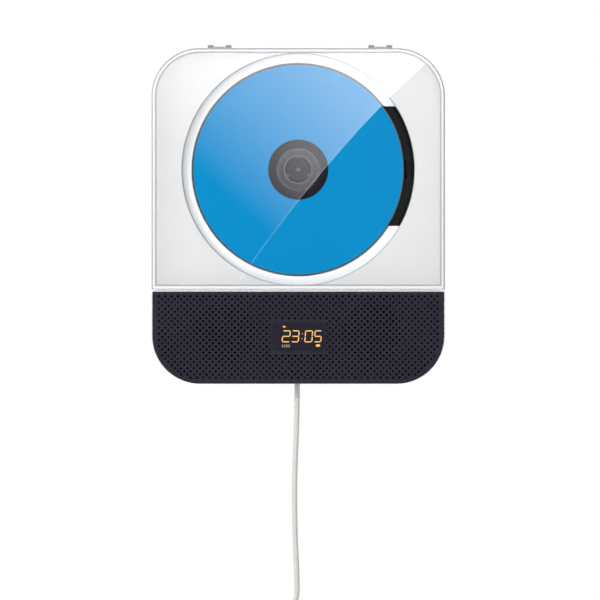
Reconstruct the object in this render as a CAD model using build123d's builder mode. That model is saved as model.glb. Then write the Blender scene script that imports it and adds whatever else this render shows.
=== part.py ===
from build123d import *
from math import acos, cos, hypot, pi, radians, sin, sqrt, tan
import os

import numpy as np

os.makedirs("parts", exist_ok=True)

# A disc player that hangs on a wall bracket and is switched by pulling its lead.
# Millimetres. +X is to the right, +Z is up and the front faces -Y. The origin is on the wall, at the
# centre of the bracket's screw pattern. "Depth" is the distance from the wall, so it is -Y.

# ---- driving dimensions ----
CASE_W = 166.0
CASE_H = 190.0
CASE_R = 27.2
WALL = 2.0
CASE_BACK = 1.0  # depth of the rear cover's back face
SPLIT = 14.0  # depth where the rear cover meets the front deck
DECK = 32.0  # depth of the deck's front face
DECK_T = 2.5
FRONT = 42.0  # depth of the lid's and the grille's front face
BACK_EDGE_R = 3.0
SEAM = 0.3  # gap between the deck and the lid or grille

DISC_R = 60.0
DISC_T = 1.2
DISC_HOLE_R = 7.5
DISC_Z = 26.4
DISC_BACK = 28.0  # depth of the disc's rear face
WELL_R = 65.9
WELL_FLOOR = 25.0
WELL_WALL = 1.6

GRILLE_TOP = -42.8
LID_BOTTOM = -41.55
HINGE_X = 45.5  # half the distance between the two hinges
HINGE_SHIFT = 1.0  # the pair sits a little right of the middle
HINGE_Z = 94.6
HINGE_DEPTH = 31.5
PIN_R = 0.75
RUNNING = 0.05  # radial clearance of a shaft that turns in its hole

LEAD_R = 1.5
LEAD_X = -0.6
LEAD_DEPTH = 21.0


def facing(depth):
    """The plane at this distance from the wall: X to the right, Z up, extrusions run to the front."""
    return Plane.XZ.offset(depth)


def lathe(x, z):
    """A plane for turned profiles drawn as (radius, depth) about an axis square to the wall."""
    return Plane(origin=(x, 0, z), x_dir=(1, 0, 0), z_dir=(0, 0, -1))


def lathe_axis(x, z):
    return Axis((x, 0, z), (0, -1, 0))


def write(piece, label):
    """Labels a finished piece and writes it under its own name."""
    piece.part.label = label
    export_step(piece.part, f"parts/{label}.step")


# ---- wall bracket: a plate with four screw holes and two upward hooks ----
BRACKET_W = 90.0
BRACKET_H = 60.0
BRACKET_T = 3.0
SCREW_DX = 60.0
SCREW_DZ = 40.0
SCREW_HOLE_R = 2.25
HOOK_X = 20.0
HOOK_W = 10.0
NECK_BOTTOM = 8.0
NECK_H = 5.0
HEAD_H = 11.0
NECK_FRONT = 6.6
HEAD_FRONT = 8.6
LIFT = 7.0  # how far the casing is lifted to come off the hooks

with BuildPart() as wall_bracket:
    with BuildSketch(facing(0)):
        RectangleRounded(BRACKET_W, BRACKET_H, 6)
        with GridLocations(SCREW_DX, SCREW_DZ, 2, 2):
            Circle(SCREW_HOLE_R, mode=Mode.SUBTRACT)
    extrude(amount=BRACKET_T)
    with BuildSketch(facing(BRACKET_T)):
        with Locations((-HOOK_X, NECK_BOTTOM), (HOOK_X, NECK_BOTTOM)):
            Rectangle(HOOK_W, NECK_H, align=(Align.CENTER, Align.MIN))
    extrude(amount=NECK_FRONT - BRACKET_T)
    with BuildSketch(facing(NECK_FRONT)):
        with Locations((-HOOK_X, NECK_BOTTOM), (HOOK_X, NECK_BOTTOM)):
            Rectangle(HOOK_W, HEAD_H, align=(Align.CENTER, Align.MIN))
    extrude(amount=HEAD_FRONT - NECK_FRONT)
write(wall_bracket, "wall_bracket")

# ---- rear cover: a shallow tray with a pocket for the bracket ----
POCKET_W = 96.0
POCKET_TOP = 31.0
POCKET_BOTTOM = -38.5
POCKET_FLOOR = 4.2
BOSS_X = 66.0
BOSS_Z = 78.0
BOSS_R = 4.0
PAD_R = 6.0
PAD_X = 60.0
PAD_Z = 60.0
bosses = [(sx * BOSS_X, sz * BOSS_Z) for sx in (-1, 1) for sz in (-1, 1)]
pads = [(sx * PAD_X, sz * PAD_Z) for sx in (-1, 1) for sz in (-1, 1)]
pocket_mid = (POCKET_TOP + POCKET_BOTTOM) / 2
pocket_h = POCKET_TOP - POCKET_BOTTOM

with BuildPart() as rear_cover:
    with BuildSketch(facing(CASE_BACK)):
        RectangleRounded(CASE_W, CASE_H, CASE_R)
    extrude(amount=SPLIT - CASE_BACK)
    fillet(rear_cover.faces().sort_by(Axis.Y)[-1].edges(), BACK_EDGE_R)
    with BuildSketch(facing(CASE_BACK + WALL)):
        RectangleRounded(CASE_W - 2 * WALL, CASE_H - 2 * WALL, CASE_R - WALL)
    extrude(amount=SPLIT, mode=Mode.SUBTRACT)
    with BuildSketch(facing(CASE_BACK + WALL)):
        with Locations((0, pocket_mid)):
            Rectangle(POCKET_W + 2 * WALL, pocket_h + 2 * WALL)
    extrude(amount=POCKET_FLOOR - CASE_BACK)
    with BuildSketch(facing(CASE_BACK + WALL)):
        with Locations(*bosses):
            Circle(BOSS_R)
    extrude(amount=SPLIT - CASE_BACK - WALL)
    with BuildSketch(facing(CASE_BACK)):
        with Locations((0, pocket_mid)):
            Rectangle(POCKET_W, pocket_h)
    extrude(amount=POCKET_FLOOR - CASE_BACK, mode=Mode.SUBTRACT)
    with BuildSketch(facing(POCKET_FLOOR)):
        with Locations((-HOOK_X, NECK_BOTTOM + NECK_H + RUNNING), (HOOK_X, NECK_BOTTOM + NECK_H + RUNNING)):
            Rectangle(HOOK_W + 1, HEAD_H + 1.5, align=(Align.CENTER, Align.MAX))
    extrude(amount=WALL, mode=Mode.SUBTRACT)
    with BuildSketch(facing(CASE_BACK)):
        with Locations(*bosses):
            Circle(3.2)
    extrude(amount=5, mode=Mode.SUBTRACT)
    with BuildSketch(facing(CASE_BACK)):
        with Locations(*bosses):
            Circle(1.6)
    extrude(amount=SPLIT, mode=Mode.SUBTRACT)
    with BuildSketch(facing(CASE_BACK)):
        with Locations(*pads):
            Circle(PAD_R)
    extrude(amount=0.5, mode=Mode.SUBTRACT)
write(rear_cover, "rear_cover")

with BuildPart() as rear_screws:
    with BuildSketch(facing(4)):
        with Locations(*bosses):
            Circle(2.8)
            RegularPolygon(1.2, 6, mode=Mode.SUBTRACT)
    extrude(amount=2)
    with BuildSketch(facing(5.2)):
        with Locations(*bosses):
            Circle(1.3)
    extrude(amount=17)
write(rear_screws, "rear_screws")

with BuildPart() as rubber_pads:
    with BuildSketch(facing(0)):
        with Locations(*pads):
            Circle(PAD_R - 0.1)
    extrude(amount=CASE_BACK + 0.5)
    fillet(rubber_pads.faces().group_by(Axis.Y)[-1].edges(), 0.5)
write(rubber_pads, "rubber_pads")

# ---- front deck: side walls, front plate, disc well and the seats of what is inside ----
SLOT_MID = DISC_Z + 2.0  # the black plate's window is centred a little above the disc
SLOT_HALF = 33.95
SLOT_LEFT = -44.0
SPEAKER_X = 42.0
SPEAKER_Z = -66.0
SPEAKER_HOLE_R = 17.0
DISPLAY_Z = -68.3
MODULE_W = 34.0
MODULE_H = 20.0
MOUNT_X = 70.0
mounts = [(sx * MOUNT_X, z) for sx in (-1, 1) for z in (1.0, 50.0)]
KEY_DEPTH = 19.4
KEY_W = 8.0
KEY_D = 5.0
KEY_TRAVEL = 0.8
KEY_PITCH = 12.0
keys = [-2 * KEY_PITCH, -KEY_PITCH, 0.0, KEY_PITCH, 2 * KEY_PITCH]
JACK_Z = -30.0
JACK_DEPTH = 23.0
JACK_R = 3.0
JACK_BORE_R = 1.8
LUG_W = 3.4
LUG_OUT = 6.75  # from the hinge's middle to a lug's outer face
LUG_R = 2.4
KNUCKLE_R = 1.5
SEAT_TOP = -82.0
SEAT_T = 2.0
STEM_R = 2.2
BUSH_R = 4.0
BUSH_BORE_R = 2.1
HINGE_BLOCK_Z = 92.25
hinge_mids = (HINGE_SHIFT - HINGE_X, HINGE_SHIFT + HINGE_X)
grille_posts = [(sx * x, z) for sx in (-1, 1) for x, z in ((70.0, -50.0), (22.0, -89.0))]
deck_depth = DECK - SPLIT
plate_back = DECK - DECK_T
COVE_R = 60.5  # the ring round the disc starts just outside its edge and rises in a shallow curve
COVE_LOW = 28.6
COVE_MID = (63.3, 29.3)
COVE_HIGH = 31.0
RIM_CHAMFER = 0.35
well_edge = WELL_R + 0.1
cove_foot = WELL_FLOOR - 0.1

with BuildPart() as front_deck:
    with BuildSketch(facing(SPLIT)):
        RectangleRounded(CASE_W, CASE_H, CASE_R)
    extrude(amount=deck_depth)
    with BuildSketch(facing(SPLIT)):
        RectangleRounded(CASE_W - 2 * WALL, CASE_H - 2 * WALL, CASE_R - WALL)
    extrude(amount=plate_back - SPLIT, mode=Mode.SUBTRACT)
    # the well stands behind the plate as a round pan
    with BuildSketch(facing(WELL_FLOOR - WALL)):
        with Locations((0, DISC_Z)):
            Circle(WELL_R + WELL_WALL)
        RectangleRounded(CASE_W - WALL, CASE_H - WALL, CASE_R - WALL / 2, mode=Mode.INTERSECT)
    extrude(amount=plate_back - WELL_FLOOR + WALL)
    with BuildSketch(facing(WELL_FLOOR)):
        with Locations((0, DISC_Z)):
            Circle(WELL_R)
    extrude(amount=DECK, mode=Mode.SUBTRACT)
    # a solid ring fills the pan round the disc; its face rises in a shallow curve towards the rim
    with BuildSketch(lathe(0, DISC_Z)):
        with BuildLine():
            ThreePointArc((COVE_R, COVE_LOW), COVE_MID, (well_edge, COVE_HIGH))
            Polyline((well_edge, COVE_HIGH), (well_edge, cove_foot), (COVE_R, cove_foot), (COVE_R, COVE_LOW))
        make_face()
    revolve(axis=lathe_axis(0, DISC_Z))
    # the rim's edge is broken by a small chamfer
    with BuildSketch(lathe(0, DISC_Z)):
        Polygon(
            (WELL_R - RIM_CHAMFER, DECK - 2 * RIM_CHAMFER),
            (WELL_R + 2 * RIM_CHAMFER, DECK + RIM_CHAMFER),
            (WELL_R - RIM_CHAMFER, DECK + RIM_CHAMFER),
            align=None,
        )
    revolve(axis=lathe_axis(0, DISC_Z), mode=Mode.SUBTRACT)
    # the window for the black plate takes the curve away at the right
    with BuildSketch(facing(WELL_FLOOR - WALL)):
        with Locations((SLOT_LEFT, SLOT_MID)):
            Rectangle(CASE_W, 2 * SLOT_HALF, align=(Align.MIN, Align.CENTER))
        with Locations((0, DISC_Z)):
            Circle(WELL_R, mode=Mode.INTERSECT)
    extrude(amount=DECK, mode=Mode.SUBTRACT)
    # bosses for the rear screws, posts for the mechanism, seat of the pull spring
    with BuildSketch(facing(SPLIT)):
        with Locations(*bosses):
            Circle(BOSS_R)
    extrude(amount=plate_back - SPLIT)
    with BuildSketch(facing(23.7)):
        with Locations(*mounts):
            Circle(3.5)
    extrude(amount=plate_back - 23.7)
    with BuildSketch(facing(SPLIT)):
        with Locations((LEAD_X, SEAT_TOP)):
            Rectangle(17, SEAT_T, align=(Align.CENTER, Align.MAX))
    extrude(amount=plate_back - SPLIT)
    # solid blocks that carry the hinge knuckles
    with BuildSketch(facing(26.5)):
        with Locations(*[(x, HINGE_BLOCK_Z) for x in hinge_mids]):
            Rectangle(2 * LUG_OUT + 5, 5.5)
    extrude(amount=plate_back - 26.5)
    # screw holes
    with BuildSketch(facing(SPLIT)):
        with Locations(*bosses):
            Circle(1.35)
    extrude(amount=12, mode=Mode.SUBTRACT)
    with BuildSketch(facing(23.7)):
        with Locations(*mounts):
            Circle(1.45)
    extrude(amount=5, mode=Mode.SUBTRACT)
    with BuildSketch(facing(plate_back)):
        with Locations(*grille_posts):
            Circle(1.3)
    extrude(amount=DECK_T, mode=Mode.SUBTRACT)
    # speakers and display
    with BuildSketch(facing(plate_back)):
        with Locations((-SPEAKER_X, SPEAKER_Z), (SPEAKER_X, SPEAKER_Z)):
            Circle(SPEAKER_HOLE_R)
        with Locations((0, DISPLAY_Z)):
            Rectangle(MODULE_W + 1, MODULE_H + 1)
    extrude(amount=DECK_T, mode=Mode.SUBTRACT)
    # keys in the top wall, lead and spring stem at the bottom, jack in the side
    with BuildSketch(Plane.XY.offset(CASE_H / 2 - 2 * WALL)):
        with Locations(*[(x, -KEY_DEPTH) for x in keys]):
            RectangleRounded(KEY_W + 0.4, KEY_D + 0.4, 1.2)
    extrude(amount=3 * WALL, mode=Mode.SUBTRACT)
    with BuildSketch(Plane.XY.offset(-CASE_H / 2)):
        with Locations((LEAD_X, -LEAD_DEPTH)):
            Circle(BUSH_R)
    extrude(amount=WALL, mode=Mode.SUBTRACT)
    with BuildSketch(Plane.XY.offset(SEAT_TOP - SEAT_T)):
        with Locations((LEAD_X, -LEAD_DEPTH)):
            Circle(STEM_R + 0.3)
    extrude(amount=SEAT_T, mode=Mode.SUBTRACT)
    with BuildSketch(Plane.YZ.offset(CASE_W / 2 - 2 * WALL)):
        with Locations((-JACK_DEPTH, JACK_Z)):
            Circle(JACK_R + 0.05)
    extrude(amount=3 * WALL, mode=Mode.SUBTRACT)
    # hinges: room for the lid's lugs on both sides of a knuckle bored for the pin
    for side in hinge_mids:
        for edge in (-1, 1):
            lug_mid = side + edge * (LUG_OUT - LUG_W / 2)
            with BuildSketch(Plane.YZ.offset(lug_mid - LUG_W / 2 - 0.3)):
                with Locations((-HINGE_DEPTH, HINGE_Z)):
                    Circle(LUG_R + 0.45)
            extrude(amount=LUG_W + 0.6, mode=Mode.SUBTRACT)
        knuckle_half = LUG_OUT - LUG_W - 0.3
        with BuildSketch(Plane.YZ.offset(side - knuckle_half)):
            with Locations((-HINGE_DEPTH, HINGE_Z)):
                Circle(KNUCKLE_R)
        extrude(amount=2 * knuckle_half)
        with BuildSketch(Plane.YZ.offset(side - knuckle_half - 0.1)):
            with Locations((-HINGE_DEPTH, HINGE_Z)):
                Circle(PIN_R + 0.02)
        extrude(amount=2 * knuckle_half + 0.2, mode=Mode.SUBTRACT)
write(front_deck, "front_deck")

with BuildPart() as hinge_pins:
    for side in hinge_mids:
        with BuildSketch(Plane.YZ.offset(side - LUG_OUT + 0.1)):
            with Locations((-HINGE_DEPTH, HINGE_Z)):
                Circle(PIN_R)
        extrude(amount=2 * LUG_OUT - 0.2)
write(hinge_pins, "hinge_pins")

# ---- lid: one clear shell with four lugs on its top edge ----
LID_BACK = DECK + SEAM
LID_SIDE = 2.0
LID_TOP_WALL = 2.2
LID_BOTTOM_WALL = 2.6
LID_EDGE_R = 1.2
lug_profile = [(31.5, 97.0), (33.2, 96.9), (36.5, 95.0), (36.5, 93.4), (32.4, 93.0), (31.5, 92.2)]

with BuildPart() as dust_cover:
    with BuildSketch(facing(LID_BACK)):
        RectangleRounded(CASE_W, CASE_H, CASE_R)
        with Locations((0, LID_BOTTOM)):
            Rectangle(CASE_W, CASE_H, align=(Align.CENTER, Align.MIN), mode=Mode.INTERSECT)
    extrude(amount=FRONT - LID_BACK)
    fillet(dust_cover.faces().sort_by(Axis.Y)[0].edges(), LID_EDGE_R)
    lid_inner_top = CASE_H / 2 - LID_TOP_WALL
    lid_inner_bottom = LID_BOTTOM + LID_BOTTOM_WALL
    with BuildSketch(facing(LID_BACK)):
        with Locations((0, lid_inner_top)):
            RectangleRounded(
                CASE_W - 2 * LID_SIDE, CASE_H, CASE_R - LID_SIDE, align=(Align.CENTER, Align.MAX)
            )
        with Locations((0, lid_inner_bottom)):
            Rectangle(CASE_W, CASE_H, align=(Align.CENTER, Align.MIN), mode=Mode.INTERSECT)
    extrude(amount=FRONT - LID_SIDE - LID_BACK, mode=Mode.SUBTRACT)
    # the top wall is cut back between the lugs, where the deck's knuckle stands
    with BuildSketch(facing(LID_BACK)):
        with Locations(*[(x, CASE_H / 2) for x in hinge_mids]):
            Rectangle(2 * (LUG_OUT - LUG_W) - 0.01, 6)
    extrude(amount=1.6, mode=Mode.SUBTRACT)
    for side in hinge_mids:
        for edge in (-1, 1):
            lug_mid = side + edge * (LUG_OUT - LUG_W / 2)
            with BuildSketch(Plane.YZ.offset(lug_mid - LUG_W / 2)):
                with Locations((-HINGE_DEPTH, HINGE_Z)):
                    Circle(LUG_R)
                Polygon(*[(-depth, z) for depth, z in lug_profile], align=None)
            extrude(amount=LUG_W)
        with BuildSketch(Plane.YZ.offset(side - LUG_OUT - 1)):
            with Locations((-HINGE_DEPTH, HINGE_Z)):
                Circle(PIN_R + RUNNING)
        extrude(amount=2 * LUG_OUT + 2, mode=Mode.SUBTRACT)
write(dust_cover, "dust_cover")

# ---- speaker grille: a perforated cap with a window for the display ----
GRILLE_W = 165.0
GRILLE_H = 189.6
GRILLE_R = 27.0
GRILLE_T = 1.0
GRILLE_EDGE_R = 0.7
HOLE_R = 0.71
HOLE_DX = 3.58
HOLE_DZ = 1.77
HOLE_ROWS = 28
HOLE_COLUMNS = 45
HOLE_TOP = GRILLE_TOP - 2.6
HOLE_CLEAR = 1.0  # from the window's edge to the middle of the nearest hole
WINDOW_W = 29.6
WINDOW_H = 16.0
WINDOW_R = 3.0


def inside_grille(x, z, margin):
    """True where a point is at least this far inside the grille's round-cornered outline."""
    past_x = max(abs(x) - (GRILLE_W / 2 - GRILLE_R), 0)
    past_z = max(-z - (GRILLE_H / 2 - GRILLE_R), 0)
    return hypot(past_x, past_z) <= GRILLE_R - margin


def beside_window(x, z, margin):
    return abs(x) > WINDOW_W / 2 + margin or abs(z - DISPLAY_Z) > WINDOW_H / 2 + margin


holes = []
for row in range(HOLE_ROWS):
    in_row = HOLE_COLUMNS - row % 2
    for column in range(in_row):
        x = (column - (in_row - 1) / 2) * HOLE_DX
        z = HOLE_TOP - row * HOLE_DZ
        if inside_grille(x, z, 1.9) and beside_window(x, z, HOLE_CLEAR):
            holes.append((x, z))
print("grille holes", len(holes))

# The plate is one face with every hole as an inner wire; the rim and the screw posts stand behind it.
plate_depth = FRONT - GRILLE_T
with BuildSketch(facing(plate_depth)) as plate_outline:
    RectangleRounded(GRILLE_W, GRILLE_H, GRILLE_R)
    with Locations((0, GRILLE_TOP)):
        Rectangle(CASE_W, CASE_H, align=(Align.CENTER, Align.MAX), mode=Mode.INTERSECT)
    with Locations((0, DISPLAY_Z)):
        RectangleRounded(WINDOW_W, WINDOW_H, WINDOW_R, mode=Mode.SUBTRACT)
hole_planes = [Plane(origin=(x, -plate_depth, z), z_dir=(0, -1, 0)) for x, z in holes]
perforations = [Wire.make_circle(HOLE_R, hole_plane) for hole_plane in hole_planes]
outline_face = plate_outline.sketch.faces()[0]
plate_face = Face(outline_face.outer_wire(), [*outline_face.inner_wires(), *perforations])

with BuildPart() as speaker_grille:
    extrude(to_extrude=plate_face, amount=GRILLE_T)
    fillet(speaker_grille.faces().sort_by(Axis.Y)[0].outer_wire().edges(), GRILLE_EDGE_R)
write(speaker_grille, "speaker_grille")

with BuildPart() as grille_frame:
    with BuildSketch(facing(DECK + SEAM)):
        RectangleRounded(GRILLE_W, GRILLE_H, GRILLE_R)
        RectangleRounded(GRILLE_W - 2 * WALL, GRILLE_H - 2 * WALL, GRILLE_R - WALL, mode=Mode.SUBTRACT)
        with Locations((0, GRILLE_TOP)):
            Rectangle(CASE_W, CASE_H, align=(Align.CENTER, Align.MAX), mode=Mode.INTERSECT)
        with Locations((0, GRILLE_TOP - WALL / 2)):
            Rectangle(GRILLE_W, WALL)
        with Locations(*grille_posts):
            Circle(2.6)
            Circle(1.05, mode=Mode.SUBTRACT)
    extrude(amount=plate_depth - DECK - SEAM)
write(grille_frame, "grille_frame")

with BuildPart() as grille_screws:
    with BuildSketch(facing(plate_back - 1.4)):
        with Locations(*grille_posts):
            Circle(2.2)
    extrude(amount=1.4)
    with BuildSketch(facing(plate_back)):
        with Locations(*grille_posts):
            Circle(1.0)
    extrude(amount=7.5)
write(grille_screws, "grille_screws")

with BuildPart() as display_window:
    with BuildSketch(facing(FRONT - GRILLE_T)):
        with Locations((0, DISPLAY_Z)):
            RectangleRounded(WINDOW_W - 0.1, WINDOW_H - 0.1, WINDOW_R)
    extrude(amount=GRILLE_T)
write(display_window, "display_window")

with BuildPart() as display_module:
    with BuildSketch(facing(27.4)):
        with Locations((0, DISPLAY_Z)):
            Rectangle(MODULE_W + 5, MODULE_H + 3)
    extrude(amount=plate_back - 27.4 - 0.1)
    with BuildSketch(facing(28)):
        with Locations((0, DISPLAY_Z)):
            Rectangle(MODULE_W, MODULE_H)
    extrude(amount=FRONT - GRILLE_T - 0.1 - 28)
write(display_module, "display_module")

# ---- speakers: basket, magnet pot, surround and the cone that moves ----
FRAME_PROFILE = [
    (18.5, 29.4),
    (18.5, 27.4),
    (17.5, 27.4),
    (11.5, 18.5),
    (11.5, 17.0),
    (6.8, 17.0),
    (6.8, 18.0),
    (10.4, 18.0),
    (10.4, 19.0),
    (16.3, 27.6),
    (16.3, 29.4),
]
MAGNET_CUP = [(0, 8.5), (11.5, 8.5), (11.5, 17.0), (6.8, 17.0), (6.8, 10.0)]
MAGNET_PROFILE = [*MAGNET_CUP, (5.2, 10.0), (5.2, 16.6), (0, 16.6)]
CONE_PROFILE = [
    (5.7, 12.0),
    (6.2, 12.0),
    (6.2, 18.4),
    (14.3, 26.4),
    (14.3, 27.2),
    (7.4, 20.4),
    (5.0, 22.2),
    (0, 23.0),
    (0, 22.4),
    (4.8, 21.6),
    (6.3, 20.2),
    (5.7, 19.4),
]
SURROUND_IN = 14.5
SURROUND_OUT = 16.3
SURROUND_BACK = 27.7

for side, x in (("left", -SPEAKER_X), ("right", SPEAKER_X)):
    for name, profile in (("frame", FRAME_PROFILE), ("magnet", MAGNET_PROFILE), ("cone", CONE_PROFILE)):
        with BuildPart() as turned:
            with BuildSketch(lathe(x, SPEAKER_Z)):
                Polygon(*profile, align=None)
            revolve(axis=lathe_axis(x, SPEAKER_Z))
        write(turned, f"{side}_speaker_{name}")
    with BuildPart() as surround:
        surround_mid = (SURROUND_IN + SURROUND_OUT) / 2
        with BuildSketch(lathe(x, SPEAKER_Z)):
            with BuildLine():
                ThreePointArc(
                    (SURROUND_IN, SURROUND_BACK),
                    (surround_mid, SURROUND_BACK + surround_mid - SURROUND_IN),
                    (SURROUND_OUT, SURROUND_BACK),
                )
                Line((SURROUND_OUT, SURROUND_BACK), (SURROUND_IN, SURROUND_BACK))
            make_face()
        revolve(axis=lathe_axis(x, SPEAKER_Z))
    write(surround, f"{side}_speaker_surround")

# ---- disc mechanism ----
PLATE_BACK = 24.2
PLATE_FRONT = 26.2
CHASSIS_BACK = 20.0
CHASSIS_FRONT = 22.5
CHASSIS_BOTTOM = -15.0
CHASSIS_TOP = 57.0
CHASSIS_W = 157.0
LENS_X = 23.5  # the lens at rest, at the disc's inner track
SLED_TRAVEL = 34.0
SLED_HALF = 12.0
SLED_MID = 25.4
SLED_BACK = 12.5
SLED_FRONT = 19.4
SLED_BOTTOM = 10.0
SLED_TOP = 42.4
ROD_DEPTH = 16.0
ROD_R = 1.5
ROD_DZ = 13.0
rods = [DISC_Z - ROD_DZ, DISC_Z + ROD_DZ]
plate_posts = [(x, z) for x in (-38.0, 48.0) for z in (-1.5, 55.0)]

with BuildPart() as mechanism_cover:
    with BuildSketch(facing(PLATE_BACK)):
        with Locations((SLOT_LEFT + 0.25, SLOT_MID)):
            Rectangle(CASE_W, 2 * SLOT_HALF - 0.5, align=(Align.MIN, Align.CENTER))
        with Locations((0, DISC_Z)):
            Circle(WELL_R - 0.25, mode=Mode.INTERSECT)
            Circle(4, mode=Mode.SUBTRACT)
        with Locations((LENS_X - 3.5, DISC_Z)):
            Rectangle(SLED_TRAVEL + 7, 10.4, align=(Align.MIN, Align.CENTER), mode=Mode.SUBTRACT)
    extrude(amount=PLATE_FRONT - PLATE_BACK)
    # a curved lip stands along the plate's right edge
    with BuildSketch(facing(PLATE_FRONT)):
        with Locations((0, DISC_Z)):
            Circle(WELL_R - 0.25)
            Circle(WELL_R - 1.4, mode=Mode.SUBTRACT)
        with Locations((0, SLOT_MID)):
            Rectangle(CASE_W, 2 * SLOT_HALF - 0.5, align=(Align.MIN, Align.CENTER), mode=Mode.INTERSECT)
    extrude(amount=5)
    with BuildSketch(facing(CHASSIS_FRONT)):
        with Locations(*plate_posts):
            Circle(2.2)
    extrude(amount=PLATE_BACK - CHASSIS_FRONT)
write(mechanism_cover, "mechanism_cover")

chassis_mid = (CHASSIS_TOP + CHASSIS_BOTTOM) / 2
FEED_X = 40.0
FEED_Z = 3.8
with BuildPart() as mechanism_chassis:
    with BuildSketch(facing(CHASSIS_BACK)):
        with Locations((0, chassis_mid)):
            RectangleRounded(CHASSIS_W, CHASSIS_TOP - CHASSIS_BOTTOM, 5)
        with Locations(*mounts):
            Circle(2.6, mode=Mode.SUBTRACT)
        with Locations((0, DISC_Z)):
            Circle(4, mode=Mode.SUBTRACT)
        with Locations((LENS_X - 5.5, DISC_Z)):
            Rectangle(SLED_TRAVEL + 11, 16, align=(Align.MIN, Align.CENTER), mode=Mode.SUBTRACT)
        with Locations((FEED_X, FEED_Z)):
            Circle(1.0, mode=Mode.SUBTRACT)
    extrude(amount=CHASSIS_FRONT - CHASSIS_BACK)
    # blocks that hold the ends of the guide rods
    with BuildSketch(facing(ROD_DEPTH - 2.4)):
        with Locations(*[(x, z) for x in (11.5, 75.5) for z in rods]):
            Rectangle(3, 5)
    extrude(amount=CHASSIS_BACK - ROD_DEPTH + 2.4)
    for z in rods:
        with BuildSketch(Plane.YZ.offset(9)):
            with Locations((-ROD_DEPTH, z)):
                Circle(ROD_R)
        extrude(amount=70, mode=Mode.SUBTRACT)
write(mechanism_chassis, "mechanism_chassis")

with BuildPart() as rubber_mounts:
    for x, z in mounts:
        with BuildSketch(lathe(x, z)):
            Polygon(
                (1.5, 18.8),
                (4.0, 18.8),
                (4.0, CHASSIS_BACK),
                (2.6, CHASSIS_BACK),
                (2.6, CHASSIS_FRONT),
                (4.0, CHASSIS_FRONT),
                (4.0, 23.7),
                (1.5, 23.7),
                align=None,
            )
        revolve(axis=lathe_axis(x, z))
write(rubber_mounts, "rubber_mounts")

with BuildPart() as mechanism_screws:
    with BuildSketch(facing(17.3)):
        with Locations(*mounts):
            Circle(3.2)
    extrude(amount=1.5)
    with BuildSketch(facing(18.8)):
        with Locations(*mounts):
            Circle(1.4)
    extrude(amount=9)
write(mechanism_screws, "mechanism_screws")

MOTOR_R = 11.0
MOTOR_BACK = 9.5
SHAFT_R = 1.0
with BuildPart() as spindle_motor:
    with BuildSketch(lathe(0, DISC_Z)):
        Polygon(
            (SHAFT_R + RUNNING, 9.0),
            (3.0, 9.0),
            (3.0, MOTOR_BACK),
            (MOTOR_R - 1, MOTOR_BACK),
            (MOTOR_R, MOTOR_BACK + 1),
            (MOTOR_R, CHASSIS_BACK),
            (3.0, CHASSIS_BACK),
            (3.0, 21.0),
            (SHAFT_R + RUNNING, 21.0),
            align=None,
        )
    revolve(axis=lathe_axis(0, DISC_Z))
write(spindle_motor, "spindle_motor")

with BuildPart() as spindle_shaft:
    with BuildSketch(facing(8.5)):
        with Locations((0, DISC_Z)):
            Circle(SHAFT_R)
    extrude(amount=22.6)
write(spindle_shaft, "spindle_shaft")

# ---- turntable: a flange under the disc, a boss in its hole and three spring balls over its edge ----
TABLE_R = 17.2
BOSS_HUB_R = 7.4
PAD_IN = 13.2
PAD_OUT = 16.2
BALL_R = 1.1
BALL_RING = 6.6
BALL_DEPTH = 29.9
with BuildPart() as turntable:
    with BuildSketch(lathe(0, DISC_Z)):
        Polygon(
            (SHAFT_R, 23.4),
            (3.0, 23.4),
            (3.0, 26.6),
            (TABLE_R, 26.6),
            (TABLE_R, DISC_BACK),
            (PAD_OUT, DISC_BACK),
            (PAD_OUT, DISC_BACK - 0.5),
            (PAD_IN, DISC_BACK - 0.5),
            (PAD_IN, DISC_BACK),
            (12.2, DISC_BACK),
            (11.8, DISC_BACK - 0.4),
            (BOSS_HUB_R, DISC_BACK - 0.4),
            (BOSS_HUB_R, 29.7),
            (6.2, 30.9),
            (2.4, 30.9),
            (2.0, 30.4),
            (SHAFT_R, 30.4),
            align=None,
        )
    revolve(axis=lathe_axis(0, DISC_Z))
    with Locations(Plane(origin=(0, -BALL_DEPTH, DISC_Z), x_dir=(1, 0, 0), z_dir=(0, -1, 0))):
        with PolarLocations(BALL_RING, 3, start_angle=90):
            Sphere(BALL_R + 0.05, mode=Mode.SUBTRACT)
write(turntable, "turntable")

with BuildPart() as turntable_pad:
    with BuildSketch(facing(DISC_BACK - 0.5)):
        with Locations((0, DISC_Z)):
            Circle(PAD_OUT)
            Circle(PAD_IN, mode=Mode.SUBTRACT)
    extrude(amount=0.5)
write(turntable_pad, "turntable_pad")

with BuildPart() as clamp_balls:
    with Locations(Plane(origin=(0, -BALL_DEPTH, DISC_Z), x_dir=(1, 0, 0), z_dir=(0, -1, 0))):
        with PolarLocations(BALL_RING, 3, start_angle=90):
            Sphere(BALL_R)
write(clamp_balls, "clamp_balls")

with BuildPart() as compact_disc:
    with BuildSketch(facing(DISC_BACK)):
        with Locations((0, DISC_Z)):
            Circle(DISC_R)
            Circle(DISC_HOLE_R, mode=Mode.SUBTRACT)
    extrude(amount=DISC_T)
write(compact_disc, "compact_disc")

# ---- laser pickup: a sled on two rods, with a sprung lens holder ----
sled_left = SLED_MID - SLED_HALF
with BuildPart() as guide_rods:
    for z in rods:
        with BuildSketch(Plane.YZ.offset(10.2)):
            with Locations((-ROD_DEPTH, z)):
                Circle(ROD_R)
        extrude(amount=66.6)
write(guide_rods, "guide_rods")

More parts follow.
